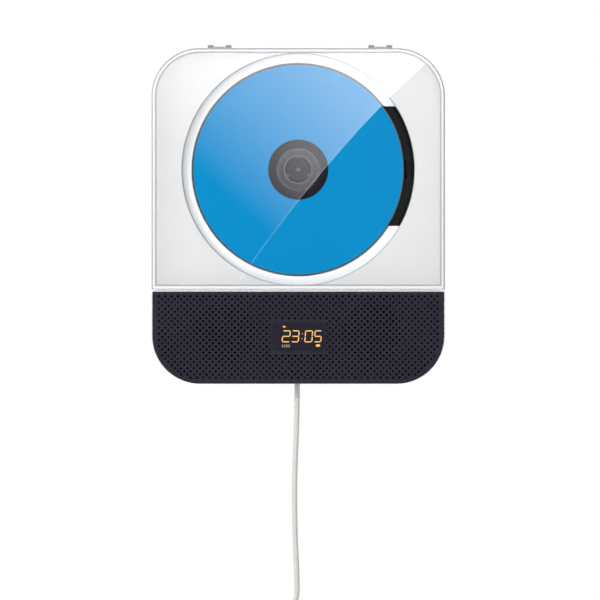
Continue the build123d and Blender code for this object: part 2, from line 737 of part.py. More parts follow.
with BuildPart() as pickup_sled:
    with BuildSketch(facing(SLED_BACK)):
        with Locations((sled_left, SLED_BOTTOM)):
            Rectangle(2 * SLED_HALF, SLED_TOP - SLED_BOTTOM, align=Align.MIN)
    extrude(amount=SLED_FRONT - SLED_BACK)
    chamfer(pickup_sled.edges().filter_by(Axis.Y), 2)
    with BuildSketch(facing(SLED_FRONT)):
        with Locations((LENS_X, DISC_Z)):
            Rectangle(8, 12)
    extrude(amount=4.2)
    for z in rods:
        with BuildSketch(Plane.YZ.offset(0)):
            with Locations((-ROD_DEPTH, z)):
                Circle(ROD_R + RUNNING)
        extrude(amount=50, mode=Mode.SUBTRACT)
write(pickup_sled, "pickup_sled")

with BuildPart() as lens_holder:
    with BuildSketch(facing(24.1)):
        with Locations((LENS_X, DISC_Z)):
            RectangleRounded(6.4, 8.6, 1)
    extrude(amount=1.2)
write(lens_holder, "lens_holder")

LENS_R = 2.2
LENS_BACK = 25.3
LENS_TIP = 25.9
lens_height = LENS_TIP - LENS_BACK
lens_curve = (LENS_R**2 + lens_height**2) / (2 * lens_height)
lens_mid = LENS_TIP - lens_curve + sqrt(lens_curve**2 - (LENS_R / 2) ** 2)
with BuildPart() as objective_lens:
    with BuildSketch(lathe(LENS_X, DISC_Z)):
        with BuildLine():
            Polyline((0, LENS_TIP), (0, LENS_BACK), (LENS_R, LENS_BACK))
            ThreePointArc((LENS_R, LENS_BACK), (LENS_R / 2, lens_mid), (0, LENS_TIP))
        make_face()
    revolve(axis=lathe_axis(LENS_X, DISC_Z))
write(objective_lens, "objective_lens")

# ---- feed drive: motor pinion, stepped gear and the rack on the sled ----
PRESSURE = radians(20)
RACK_MODULE = 0.6
GEAR_MODULE = 0.5
SMALL_TEETH = 14
BIG_TEETH = 36
PINION_TEETH = 12
BACKLASH = 0.16
PINION_ANGLE = -125.0  # direction from the stepped gear's axis to the pinion's
rack_r = RACK_MODULE * SMALL_TEETH / 2
rack_line = FEED_Z + rack_r
gear_reach = GEAR_MODULE * (BIG_TEETH + PINION_TEETH) / 2
pinion_x = FEED_X + gear_reach * cos(radians(PINION_ANGLE))
pinion_z = FEED_Z + gear_reach * sin(radians(PINION_ANGLE))
print("pinion axis", round(pinion_x, 3), round(pinion_z, 3), "rack radius", rack_r)


def involute(angle):
    return tan(angle) - angle


def tooth_flank(module, teeth):
    """Half a tooth as (radius, half angle) pairs from root to tip, thinned by the backlash."""
    pitch_r = module * teeth / 2
    base_r = pitch_r * cos(PRESSURE)
    root_r = pitch_r - 1.25 * module
    tip_r = pitch_r + module
    at_pitch = pi / (2 * teeth) - BACKLASH / (2 * pitch_r) + involute(PRESSURE)
    start_r = max(base_r, root_r)
    flank = [(root_r, at_pitch - involute(acos(base_r / start_r)))]
    for step in (0.35, 0.7, 1.0):
        r = start_r + (tip_r - start_r) * step
        flank.append((r, at_pitch - involute(acos(base_r / r))))
    return flank


def gear_points(module, teeth, x, z, first_tooth):
    """The outline of a gear with a tooth centred on the angle first_tooth, in degrees."""
    flank = tooth_flank(module, teeth)
    points = []
    for tooth in range(teeth):
        middle = radians(first_tooth) + 2 * pi * tooth / teeth
        for side, edge in ((-1, flank), (1, flank[::-1])):
            for r, half in edge:
                points.append((x + r * cos(middle + side * half), z + r * sin(middle + side * half)))
    return points


with BuildPart() as feed_gear:
    with BuildSketch(facing(9.8)):
        Polygon(*gear_points(GEAR_MODULE, BIG_TEETH, FEED_X, FEED_Z, PINION_ANGLE), align=None)
    extrude(amount=2.4)
    with BuildSketch(facing(12.2)):
        small_tooth = 90 + 180 / SMALL_TEETH
        Polygon(*gear_points(RACK_MODULE, SMALL_TEETH, FEED_X, FEED_Z, small_tooth), align=None)
    extrude(amount=4.0)
    with BuildSketch(facing(9.8)):
        with Locations((FEED_X, FEED_Z)):
            Circle(SHAFT_R + RUNNING)
    extrude(amount=7, mode=Mode.SUBTRACT)
write(feed_gear, "feed_gear")

with BuildPart() as gear_axle:
    with BuildSketch(facing(9.2)):
        with Locations((FEED_X, FEED_Z)):
            Circle(SHAFT_R)
    extrude(amount=CHASSIS_FRONT - 9.2)
write(gear_axle, "gear_axle")

RACK_PITCH = pi * RACK_MODULE
RACK_TEETH = 22
RACK_TOP = SLED_BOTTOM
rack_root = rack_line + 1.25 * RACK_MODULE
rack_tip = rack_line - RACK_MODULE
half_at_line = RACK_PITCH / 4 - BACKLASH / 2
half_at_tip = half_at_line - RACK_MODULE * tan(PRESSURE)
half_at_root = half_at_line + 1.25 * RACK_MODULE * tan(PRESSURE)
rack_right = FEED_X + 1.5 * RACK_PITCH
rack_outline = []
for tooth in range(RACK_TEETH):
    middle = FEED_X + RACK_PITCH * (1 - tooth)
    rack_outline += [
        (middle + half_at_root, rack_root),
        (middle + half_at_tip, rack_tip),
        (middle - half_at_tip, rack_tip),
        (middle - half_at_root, rack_root),
    ]
rack_left = rack_right - RACK_TEETH * RACK_PITCH
with BuildPart() as sled_rack:
    with BuildSketch(facing(13)):
        right_end = [(rack_right, RACK_TOP), (rack_right, rack_root)]
        left_end = [(rack_left, rack_root), (rack_left, RACK_TOP)]
        Polygon(*right_end, *rack_outline, *left_end, align=None)
    extrude(amount=3)
write(sled_rack, "sled_rack")
print("rack from", round(rack_left, 2), "to", round(rack_right, 2))

FEED_MOTOR_R = 6.2
PINION_SHAFT_R = 0.75
with BuildPart() as feed_motor:
    with BuildSketch(facing(13)):
        with Locations((pinion_x, pinion_z)):
            Circle(FEED_MOTOR_R)
    extrude(amount=CHASSIS_BACK - 13)
    with BuildSketch(facing(13)):
        with Locations((pinion_x, pinion_z)):
            Circle(PINION_SHAFT_R + RUNNING)
    extrude(amount=5, mode=Mode.SUBTRACT)
write(feed_motor, "feed_motor")

with BuildPart() as motor_pinion:
    with BuildSketch(facing(9.8)):
        gap_first = PINION_ANGLE + 180 + 180 / PINION_TEETH
        Polygon(*gear_points(GEAR_MODULE, PINION_TEETH, pinion_x, pinion_z, gap_first), align=None)
    extrude(amount=2.4)
    with BuildSketch(facing(9.8)):
        with Locations((pinion_x, pinion_z)):
            Circle(PINION_SHAFT_R)
    extrude(amount=8)
write(motor_pinion, "motor_pinion")

# ---- electronics ----
BOARD_T = 1.6
with BuildPart() as main_board:
    with BuildSketch(facing(10)):
        with Locations((0, -31)):
            Rectangle(120, 24)
    extrude(amount=BOARD_T)
write(main_board, "main_board")

with BuildPart() as board_parts:
    with BuildSketch(facing(10 + BOARD_T)):
        with Locations((-8, -31)):
            Rectangle(12, 12)
        with Locations((14, -33)):
            Rectangle(8, 10)
        with Locations((-34, -27), (-26, -36)):
            Rectangle(5, 4)
    extrude(amount=1.4)
    with BuildSketch(facing(10 + BOARD_T)):
        with Locations((34, -26), (44, -26), (34, -36), (44, -36)):
            Circle(3.1)
    extrude(amount=7)
    with BuildSketch(facing(10 + BOARD_T)):
        with Locations((-48, -31)):
            Rectangle(9, 14)
    extrude(amount=5)
write(board_parts, "board_parts")

with BuildPart() as battery_pack:
    with BuildSketch(facing(3.2)):
        with Locations((-65.5, 20)):
            RectangleRounded(24, 58, 2)
    extrude(amount=10)
write(battery_pack, "battery_pack")

with BuildPart() as button_board:
    with BuildSketch(facing(14.6)):
        with Locations((0, 85.2)):
            Rectangle(62, BOARD_T)
    extrude(amount=8)
write(button_board, "button_board")

KEY_FOOT = 90.5  # height of a key's underside
SWITCH_GAP = 0.1
with BuildPart() as button_switches:
    with BuildSketch(Plane.XY.offset(85.2 + BOARD_T / 2)):
        with Locations(*[(x, -KEY_DEPTH) for x in keys]):
            Rectangle(6, 5.6)
    extrude(amount=2.6)
    with BuildSketch(Plane.XY.offset(85.2 + BOARD_T / 2)):
        with Locations(*[(x, -KEY_DEPTH) for x in keys]):
            Circle(1.5)
    extrude(amount=KEY_FOOT - KEY_TRAVEL - SWITCH_GAP - 85.2 - BOARD_T / 2)
write(button_switches, "button_switches")

key_names = ("previous", "play", "next", "quieter", "louder")
for key_name, x in zip(key_names, keys):
    with BuildPart() as key:
        with BuildSketch(Plane.XY.offset(KEY_FOOT)):
            with Locations((x, -KEY_DEPTH)):
                RectangleRounded(KEY_W + 1.6, KEY_D + 1.2, 1)
        extrude(amount=1)
        with BuildSketch(Plane.XY.offset(KEY_FOOT)):
            with Locations((x, -KEY_DEPTH)):
                RectangleRounded(KEY_W, KEY_D, 1)
        extrude(amount=CASE_H / 2 - KEY_FOOT)
        fillet(key.faces().sort_by(Axis.Z)[-1].edges(), 0.3)
    write(key, f"button_{key_name}")

with BuildPart() as audio_jack:
    with BuildSketch(Plane.YZ.offset(66)):
        with Locations((-JACK_DEPTH, JACK_Z)):
            Rectangle(8, 9)
    extrude(amount=14.6)
    with BuildSketch(Plane.YZ.offset(66)):
        with Locations((-JACK_DEPTH, JACK_Z)):
            Circle(JACK_R)
    extrude(amount=CASE_W / 2 - 66)
    with BuildSketch(Plane.YZ.offset(CASE_W / 2 - 14)):
        with Locations((-JACK_DEPTH, JACK_Z)):
            Circle(JACK_BORE_R)
    extrude(amount=14, mode=Mode.SUBTRACT)
write(audio_jack, "audio_jack")

# ---- pull switch: the lead hangs on a sprung slider ----
SLIDER_FOOT = -87.0
SLIDER_TOP = -66.0
FLANGE_R = 5.0
FLANGE_T = 2.0
PULL = 4.0
WIRE_R = 0.4
SPRING_R = 3.4
SPRING_TURNS = 5

with BuildPart() as cord_bushing:
    with BuildSketch(Plane.XY.offset(-CASE_H / 2)):
        with Locations((LEAD_X, -LEAD_DEPTH)):
            Circle(BUSH_R)
    extrude(amount=WALL)
    with BuildSketch(Plane.XY.offset(-CASE_H / 2 + WALL)):
        with Locations((LEAD_X, -LEAD_DEPTH)):
            Circle(BUSH_R + 1.2)
    extrude(amount=1.2)
    with BuildSketch(Plane.XY.offset(-CASE_H / 2)):
        with Locations((LEAD_X, -LEAD_DEPTH)):
            Circle(BUSH_BORE_R)
    extrude(amount=2 * WALL, mode=Mode.SUBTRACT)
    fillet(cord_bushing.faces().sort_by(Axis.Z)[0].edges().sort_by(SortBy.RADIUS)[0], 0.5)
write(cord_bushing, "cord_bushing")

with BuildPart() as pull_slider:
    with BuildSketch(Plane.XY.offset(SLIDER_FOOT)):
        with Locations((LEAD_X, -LEAD_DEPTH)):
            Circle(STEM_R)
    extrude(amount=SLIDER_TOP - SLIDER_FOOT)
    with BuildSketch(Plane.XY.offset(SLIDER_TOP - FLANGE_T)):
        with Locations((LEAD_X, -LEAD_DEPTH)):
            Circle(FLANGE_R)
    extrude(amount=FLANGE_T)
write(pull_slider, "pull_slider")

with BuildPart() as pull_switch:
    with BuildSketch(Plane.XY.offset(-79)):
        with Locations((11, -LEAD_DEPTH)):
            Rectangle(6, 9)
    extrude(amount=11)
    with BuildSketch(Plane.XY.offset(-74)):
        with Locations((7.2, -LEAD_DEPTH)):
            Rectangle(2, 3)
    extrude(amount=2)
write(pull_switch, "pull_switch")


# The spring is one wire: each turn is a flat half turn, then one that climbs.
spring_bottom = SEAT_TOP + WIRE_R
spring_pitch = (SLIDER_TOP - FLANGE_T - SEAT_TOP - 2 * WIRE_R) / SPRING_TURNS
with BuildPart() as pull_spring:
    with BuildLine():
        for turn in range(SPRING_TURNS):
            z = spring_bottom + turn * spring_pitch
            right = Vector(LEAD_X + SPRING_R, -LEAD_DEPTH, z)
            left = Vector(LEAD_X - SPRING_R, -LEAD_DEPTH, z)
            raised = right + Vector(0, 0, spring_pitch)
            TangentArc(right, left, tangent=(0, 1, 0))
            reach = (raised - left).length / 2
            middle = (left + raised) / 2 + Vector(0, -reach, 0)
            first = TangentArc(left, middle, tangent=(0, -1, 0))
            TangentArc(middle, raised, tangent=first % 1)
        TangentArc(raised, raised - Vector(2 * SPRING_R, 0, 0), tangent=(0, 1, 0))
    with BuildSketch(Plane(origin=(LEAD_X + SPRING_R, -LEAD_DEPTH, spring_bottom), z_dir=(0, 1, 0))):
        Circle(WIRE_R)
    sweep()
write(pull_spring, "pull_spring")

# ---- the lead: a drop, a tied coil of what hangs below, and a tail with the plug ----
LAYERS = 4
LAYER_STEP = 4.6
TURN_STEP = 3.45
COIL_R = 21.4
COIL_X = LEAD_X
COIL_Z = -252.0
HALF_TURNS = 5  # flat half turns in a layer, before the one that climbs
SWING = 3.2  # how far a climbing half turn swings clear of the turns beside it
TAIL_SWING = 0.5
END_RUN = 2 * LEAD_R
start_angle = radians(135)
outward = Vector(cos(start_angle), 0, sin(start_angle))
along = Vector(-sin(start_angle), 0, cos(start_angle))  # the direction of winding at that side
coil_mid = Vector(COIL_X, 0, COIL_Z)


def coil_depth(layer):
    return LEAD_DEPTH - layer * LAYER_STEP


def coil_stops():
    """Where each half turn ends: (signed distance from the coil's middle, layer)."""
    stops = [(COIL_R, 0)]
    for layer in range(LAYERS):
        inward = layer % 2 == 0
        for step in range(1, HALF_TURNS + 1):
            rank = step if inward else HALF_TURNS + 1 - step
            side = -1 if step % 2 else 1
            stops.append((side * (COIL_R - TURN_STEP * (rank // 2)), layer))
        if layer < LAYERS - 1:
            innermost = COIL_R - TURN_STEP * ((HALF_TURNS + 1) // 2) - SWING
            stops.append((innermost if inward else COIL_R + SWING, layer + 1))
    stops.append((COIL_R + TAIL_SWING, LAYERS - 1))
    return stops


def stop_point(stop):
    distance, layer = stop
    return coil_mid + outward * distance + Vector(0, -coil_depth(layer), 0)


stops = coil_stops()
tail_x = COIL_X - COIL_R - TAIL_SWING
tail_start = Vector(tail_x, -coil_depth(LAYERS - 1), COIL_Z)
coil_entry = stop_point(stops[0]) - along * END_RUN
coil_exit = tail_start - Vector(0, 0, END_RUN)
with BuildPart() as lead_coil:
    with BuildLine() as coil_line:
        Line(coil_entry, stop_point(stops[0]))
        for number in range(len(stops) - 1):
            start = stop_point(stops[number])
            end = stop_point(stops[number + 1])
            heading = along if stops[number][0] > 0 else along * -1
            if stops[number][1] == stops[number + 1][1]:
                TangentArc(start, end, tangent=heading)
            else:
                reach = (end - start).length / 2
                middle = (start + end) / 2 + heading * reach
                first = TangentArc(start, middle, tangent=heading)
                TangentArc(middle, end, tangent=first % 1)
        TangentArc(stop_point(stops[-1]), tail_start, tangent=along)
        Line(tail_start, coil_exit)
    coil_path = coil_line.wire()
    with BuildSketch(Plane(origin=coil_entry, z_dir=along)):
        Circle(LEAD_R)
    sweep(path=coil_path)
write(lead_coil, "lead_coil")


def least_self_gap(path, radius, samples, skip):
    """The least gap between two stretches of one tube that are further apart than skip along it."""
    points = np.array([tuple(path @ (number / samples)) for number in range(samples + 1)])
    apart = int(skip / (path.length / samples)) + 1
    gaps = [np.linalg.norm(points[n + apart :] - points[n], axis=1).min() for n in range(samples - apart)]
    return min(gaps) - 2 * radius


print("coil length", round(coil_path.length, 1), "volume", round(lead_coil.part.volume, 1))
print("coil section times length", round(pi * LEAD_R**2 * coil_path.length, 1))
print("coil least self gap", round(least_self_gap(coil_path, LEAD_R, 1300, 30), 3))


def bend_radii(points):
    """Each bend is as large as its two runs allow."""
    radii = []
    for before, corner, after in zip(points, points[1:], points[2:]):
        run_in = Vector(corner) - Vector(before)
        run_out = Vector(after) - Vector(corner)
        turn = radians(run_in.get_angle(run_out))
        radii.append(0.45 * min(run_in.length, run_out.length) / tan(turn / 2))
    return radii


def at_lead_depth(x, z):
    return (x, -LEAD_DEPTH, z)


corner_z = COIL_Z + 2 * COIL_R * sin(start_angle)
drop_route = [
    at_lead_depth(LEAD_X, SLIDER_FOOT),
    at_lead_depth(-0.5, -111.0),
    at_lead_depth(-2.2, -148.0),
    at_lead_depth(-1.9, -181.0),
    at_lead_depth(-0.7, -202.0),
    at_lead_depth(LEAD_X, corner_z),
    tuple(coil_entry),
]
tail_y = coil_exit.Y
tail_route = [
    tuple(coil_exit),
    (tail_x, tail_y, -264.0),
    (-19.0, tail_y, -274.0),
    (-17.2, tail_y, -283.0),
    (-17.2, tail_y, -291.0),
]
for label, route in (("lead_drop", drop_route), ("lead_tail", tail_route)):
    radii = bend_radii(route)
    with BuildPart() as lead_tube:
        with BuildLine() as route_line:
            FilletPolyline(*route, radius=radii)
        with BuildSketch(Plane(origin=route[0], z_dir=Vector(route[1]) - Vector(route[0]))):
            Circle(LEAD_R)
        sweep(path=route_line.wire())
    write(lead_tube, label)
    tube_length = route_line.wire().length
    print(label, "length", round(tube_length, 1), "bend radii", [round(radius, 1) for radius in radii])
    section_volume = pi * LEAD_R**2 * tube_length
    print(label, "volume", round(lead_tube.part.volume, 1), "expected", round(section_volume, 1))

# ---- the tie round the coil's turns ----
TIE_W = 6.0
TIE_T = 1.2
TIE_IN_R = 21.8
TIE_IN_D = LAYER_STEP * (LAYERS - 1) + 2 * LEAD_R + 0.5
TIE_ANGLE = radians(158)
tie_out = Vector(cos(TIE_ANGLE), 0, sin(TIE_ANGLE))
tie_along = Vector(-sin(TIE_ANGLE), 0, cos(TIE_ANGLE))
bundle_depth = (coil_depth(0) + coil_depth(LAYERS - 1)) / 2
bundle_r = COIL_R - TURN_STEP * 1.6
tie_mid = coil_mid + tie_out * bundle_r + Vector(0, -bundle_depth, 0)
with BuildPart() as coil_tie:
    with BuildSketch(Plane(origin=tie_mid - tie_along * (TIE_W / 2), x_dir=tie_out, z_dir=tie_along)):
        RectangleRounded(TIE_IN_R + 2 * TIE_T, TIE_IN_D + 2 * TIE_T, 3)
        RectangleRounded(TIE_IN_R, TIE_IN_D, 1.8, mode=Mode.SUBTRACT)
    extrude(amount=TIE_W)
write(coil_tie, "coil_tie")

# ---- plug ----
PLUG_W = 15.7
PLUG_D = 7.9
PLUG_H = 20.0
SHELL_W = 12.0
SHELL_D = 4.5
SHELL_H = 18.75
SHELL_T = 0.3
plug_x = tail_route[-1][0]
plug_top = tail_route[-1][2]
with BuildPart() as usb_plug_body:
    with BuildSketch(Plane.XY.offset(plug_top - PLUG_H)):
        with Locations((plug_x, tail_y)):
            RectangleRounded(PLUG_W, PLUG_D, 1.8)
    extrude(amount=PLUG_H)
    fillet(usb_plug_body.faces().sort_by(Axis.Z)[-1].edges(), 1.5)
    # the contact tongue stands inside the metal shell
    with BuildSketch(Plane.XY.offset(plug_top - PLUG_H - SHELL_H + 1)):
        with Locations((plug_x, tail_y + 1.0)):
            Rectangle(SHELL_W - 1.0, 1.8)
    extrude(amount=SHELL_H)
write(usb_plug_body, "usb_plug_body")

with BuildPart() as usb_plug_shell:
    with BuildSketch(Plane.XY.offset(plug_top - PLUG_H - SHELL_H)):
        with Locations((plug_x, tail_y)):
            RectangleRounded(SHELL_W, SHELL_D, 0.6)
            RectangleRounded(SHELL_W - 2 * SHELL_T, SHELL_D - 2 * SHELL_T, 0.3, mode=Mode.SUBTRACT)
    extrude(amount=SHELL_H)
write(usb_plug_shell, "usb_plug_shell")
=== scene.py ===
# %% [markdown]
# # A wall mounted disc player
#
# The player hangs on a small bracket. Its casing is a flat white box with round corners. A clear lid hinges at the
# top and covers the disc, and a dark perforated grille covers the two speakers below it. A thin white lead drops
# from the bottom edge: pulling it starts the player, and its far end plugs into a power supply.
#
# The construction model already gives every rigid piece its shape and place. This notebook loads it, gives each piece
# the finish of its real material, and adds what a solid model can't hold well: the glowing display, the printed key
# symbols, the smooth lead and the studio.

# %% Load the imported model
import math

import bpy
import numpy as np
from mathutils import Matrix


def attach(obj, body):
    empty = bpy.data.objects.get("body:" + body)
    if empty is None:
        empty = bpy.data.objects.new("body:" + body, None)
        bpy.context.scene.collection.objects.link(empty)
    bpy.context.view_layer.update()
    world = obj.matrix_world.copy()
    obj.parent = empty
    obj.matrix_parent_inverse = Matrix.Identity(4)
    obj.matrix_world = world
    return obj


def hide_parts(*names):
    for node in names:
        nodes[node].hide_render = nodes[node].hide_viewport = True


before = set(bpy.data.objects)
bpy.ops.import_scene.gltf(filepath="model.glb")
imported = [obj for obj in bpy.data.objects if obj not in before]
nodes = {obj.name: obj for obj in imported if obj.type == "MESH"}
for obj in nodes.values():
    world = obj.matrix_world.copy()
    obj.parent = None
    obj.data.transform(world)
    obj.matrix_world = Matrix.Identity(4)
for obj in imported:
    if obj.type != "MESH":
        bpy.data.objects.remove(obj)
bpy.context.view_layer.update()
MM = 0.001

# %% [markdown]
# Finishes are worked out by shader nodes. Long chains of Math nodes are hard to read, so a small class stands for the
# output of a node and lets Python's own arithmetic add the nodes: `1 - mask * 2` becomes two of them.

# %% Shader arithmetic


class Signal:
    """The output of a shader node. Arithmetic on it adds the Math nodes that do the sum."""

    def __init__(self, finish, socket):
        self.finish = finish
        self.socket = socket

    def maths(self, operation, *values):
        return self.finish.node("Math", {"operation": operation}, dict(enumerate(values)))

    def __add__(self, other):
        return self.maths("ADD", self, other)

    __radd__ = __add__

    def __sub__(self, other):
        return self.maths("SUBTRACT", self, other)

    def __rsub__(self, other):
        return self.maths("SUBTRACT", other, self)

    def __mul__(self, other):
        return self.maths("MULTIPLY", self, other)

    __rmul__ = __mul__

    def __truediv__(self, other):
        return self.maths("DIVIDE", self, other)

    def __rtruediv__(self, other):
        return self.maths("DIVIDE", other, self)

    def __pow__(self, other):
        return self.maths("POWER", self, other)

    def __abs__(self):
        return self.maths("ABSOLUTE", self)

    def lowest(self, other):
        return self.maths("MINIMUM", self, other)

    def highest(self, other):
        return self.maths("MAXIMUM", self, other)

    def sine(self):
        return self.maths("SINE", self)

    def rise(self, low, high):
        """0 below low, 1 above high, and an S curve between them."""
        settings = {"interpolation_type": "SMOOTHSTEP"}
        return self.finish.node("MapRange", settings, {0: self, 1: low, 2: high, 3: 0.0, 4: 1.0})

    def line(self, middle, half_width, soft):
        """1 within half_width of middle, falling to 0 over soft on each side."""
        return 1 - abs(self - middle).rise(half_width, half_width + soft)


def rgba(colour):
    return (*colour, 1.0) if len(colour) == 3 else colour


class Finish:
    """One material, and the nodes that make it. Lengths inside it are in millimetres."""

    def __init__(self, name):
        self.material = bpy.data.materials.new(name)
        self.material.use_nodes = True
        self.tree = self.material.node_tree
        self.tree.nodes.clear()
        self.output = self.tree.nodes.new("ShaderNodeOutputMaterial")

    def node(self, kind, settings=None, values=None, out=0):
        """Adds a node of that kind: its settings first, then its sockets' values or links. Gives one output."""
        made = self.tree.nodes.new("ShaderNode" + kind)
        for key, value in (settings or {}).items():
            setattr(made, key, value)
        for key, value in (values or {}).items():
            if isinstance(value, Signal):
                self.tree.links.new(value.socket, made.inputs[key])
            else:
                made.inputs[key].default_value = value
        return Signal(self, made.outputs[out])

    def place(self):
        """The point on the piece in millimetres, as one vector and as its three numbers."""
        metres = self.node("TexCoord", out="Object")
        point = self.node("VectorMath", {"operation": "SCALE"}, {0: metres, "Scale": 1 / MM})
        return point, [self.node("SeparateXYZ", values={0: point}, out=axis) for axis in range(3)]

    def noise(self, point, scale, detail=2.0, stretch=None):
        if stretch:
            point = self.node("VectorMath", {"operation": "MULTIPLY"}, {0: point, 1: stretch})
        return self.node("TexNoise", values={"Vector": point, "Scale": scale, "Detail": detail})

    def mix(self, first, second, share):
        """Two colours mixed: all first where share is 0 and all second where it is 1."""
        ends = [end if isinstance(end, Signal) else rgba(end) for end in (first, second)]
        return self.node("Mix", {"data_type": "RGBA"}, {0: share, 6: ends[0], 7: ends[1]}, out=2)

    def bump(self, height, depth_mm, strength=1.0):
        return self.node("Bump", values={"Strength": strength, "Distance": depth_mm * MM, "Height": height})

    def surface(self, **sockets):
        """A Principled surface; each keyword is a socket's name with its spaces left out."""
        values = {}
        for key, value in sockets.items():
            name = "".join(" " + letter if letter.isupper() else letter for letter in key).strip()
            name = name.replace("I O R", "IOR")
            colour = isinstance(value, tuple) and len(value) == 3
            values[name] = rgba(value) if colour else value
        return self.node("BsdfPrincipled", values=values)

    def done(self, shader):
        self.tree.links.new(shader.socket, self.output.inputs["Surface"])
        return self.material


def dress(material, *names):
    """Gives CAD pieces a finish in place of the plain one that they were loaded with."""
    for name in names:
        mesh = nodes[name].data
        mesh.materials.clear()
        mesh.materials.append(material)


# %% [markdown]
# The studio is plain: a pale floor, a soft lamp up on the left, a weaker one on the right and an even sky. Rays that
# reach the sky from the camera see white, so the object stands on a white page, and the sky's light on the object
# itself stays moderate so that pale plastic keeps its shading.
#
# The camera looks square at the front from far away through a long lens, so the casing shows no sides.

# %% Camera, lamps and sky
FRONT_DEPTH = 0.042
CAMERA_DISTANCE = 6.0
FRAME_WIDTH = 0.3394  # what the picture's width spans at the front face
CAMERA_X = 0.001
CAMERA_Z = -0.0475
camera_data = bpy.data.cameras.new("camera")
camera_data.sensor_width = 36.0
camera_data.lens = camera_data.sensor_width * CAMERA_DISTANCE / FRAME_WIDTH
camera_data.clip_end = 50.0
camera = bpy.data.objects.new("camera", camera_data)
camera.location = (CAMERA_X, -FRONT_DEPTH - CAMERA_DISTANCE, CAMERA_Z)
camera.rotation_euler = (math.radians(90), 0, 0)
bpy.context.scene.collection.objects.link(camera)
bpy.context.scene.camera = camera
bpy.context.scene.view_settings.view_transform = "Standard"


def lamp(name, place, size, power):
    """A square soft lamp that faces the middle of the casing."""
    data = bpy.data.lights.new(name, "AREA")
    data.size = size
    data.energy = power
    made = bpy.data.objects.new(name, data)
    bpy.context.scene.collection.objects.link(made)
    made.location = place
    towards = -made.location.normalized()
    made.rotation_euler = towards.to_track_quat("-Z", "Y").to_euler()
    return made


lamp("key_lamp", (-1.3, -1.4, 0.45), 0.8, 22.0)
lamp("fill_lamp", (0.35, -1.9, 0.5), 0.5, 6.5)
lamp("back_lamp", (0.5, 1.6, 0.9), 1.0, 6.0)

world = bpy.data.worlds.new("sky")
bpy.context.scene.world = world
world.use_nodes = True
sky_tree = world.node_tree
sky_tree.nodes.clear()
sky_output = sky_tree.nodes.new("ShaderNodeOutputWorld")
sky_light = sky_tree.nodes.new("ShaderNodeBackground")
sky_light.inputs["Strength"].default_value = 0.45
sky_page = sky_tree.nodes.new("ShaderNodeBackground")
sky_page.inputs["Strength"].default_value = 1.0
for background in (sky_light, sky_page):
    background.inputs["Color"].default_value = (1, 1, 1, 1)
path = sky_tree.nodes.new("ShaderNodeLightPath")
seen = path.outputs["Is Camera Ray"]
for kind in ("Is Glossy Ray", "Is Transmission Ray"):
    either = sky_tree.nodes.new("ShaderNodeMath")
    either.operation = "MAXIMUM"
    sky_tree.links.new(seen, either.inputs[0])
    sky_tree.links.new(path.outputs[kind], either.inputs[1])
    seen = either.outputs[0]
sky_mix = sky_tree.nodes.new("ShaderNodeMixShader")
sky_tree.links.new(seen, sky_mix.inputs[0])
sky_tree.links.new(sky_light.outputs[0], sky_mix.inputs[1])
sky_tree.links.new(sky_page.outputs[0], sky_mix.inputs[2])
sky_tree.links.new(sky_mix.outputs[0], sky_output.inputs["Surface"])
print("lens", round(camera_data.lens), "mm")

# %% [markdown]
# New meshes come from grids of points. A grid is a surface with two parameters; each cell of it is one face. Thin
# printed or glowing marks are flat outlines given a little thickness.

# %% Mesh helpers


def add_mesh(name, points, faces, body, material, smooth=False):
    """Makes a mesh object from arrays of points and faces and lets it ride on a body."""
    mesh = bpy.data.meshes.new(name)
    mesh.from_pydata(np.asarray(points, float).tolist(), [], faces)
    mesh.validate()
    mesh.polygons.foreach_set("use_smooth", np.full(len(mesh.polygons), smooth))
    mesh.materials.append(material)
    piece = bpy.data.objects.new(name, mesh)
    bpy.context.scene.collection.objects.link(piece)
    if body:
        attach(piece, body)
    return piece


def grid_faces(rows, columns, wrap):
    """Four-sided faces between neighbouring points of a grid; wrap closes each row into a ring."""
    row, column = np.meshgrid(np.arange(rows - 1), np.arange(columns if wrap else columns - 1), indexing="ij")
    after = (column + 1) % columns
    corners = [row * columns + column, row * columns + after, (row + 1) * columns + after, (row + 1) * columns + column]
    return np.stack(corners, -1).reshape(-1, 4).tolist()


def slab(outline, near, far, place):
    """A flat outline made solid: its points at two levels, two caps and a wall between them."""
    outline = np.asarray(outline, float)
    count = len(outline)
    points = np.concatenate([place(outline, near), place(outline, far)])
    ahead = (np.arange(count) + 1) % count
    wall = np.stack([np.arange(count), ahead, ahead + count, np.arange(count) + count], -1).tolist()
    return points, [list(range(count))[::-1], list(range(count, 2 * count)), *wall]


def join(parts):
    """Several (points, faces) pairs as one pair."""
    points, faces, start = [], [], 0
    for part_points, part_faces in parts:
        points.append(part_points)
        faces.extend([[corner + start for corner in face] for face in part_faces])
        start += len(part_points)
    return np.concatenate(points), faces


# %% [markdown]
# ## The lead
#
# The lead is 3 mm thick and soft. It leaves the slider in the bottom edge, drops nearly straight under the pull of
# its own coil, and what isn't needed is wound into a neat tied coil below. It is one curve from end to end: the same
# points as the construction model's tube, then the coil's turns. Each half turn is half a circle whose
# middle lies between where it starts and where it ends, so turns spiral in, climb a layer and spiral out again.
# A curve of this kind passes inside its control points, so the turns' points stand out by one over the cosine of half
# the angle between them.

# %% Points of the lead
LEAD_X = -0.6
LEAD_DEPTH = 21.0
COIL_Z = -252.0
COIL_R = 21.4
LAYERS = 4
LAYER_STEP = 4.6
TURN_STEP = 3.45
HALF_TURNS = 5
SWING = 3.2
TAIL_SWING = 0.5
START_ANGLE = math.radians(135)
STEPS = 8  # control points in each half turn
outward = np.array([math.cos(START_ANGLE), 0.0, math.sin(START_ANGLE)])
along = np.array([-math.sin(START_ANGLE), 0.0, math.cos(START_ANGLE)])
coil_middle = np.array([LEAD_X, -LEAD_DEPTH, COIL_Z])


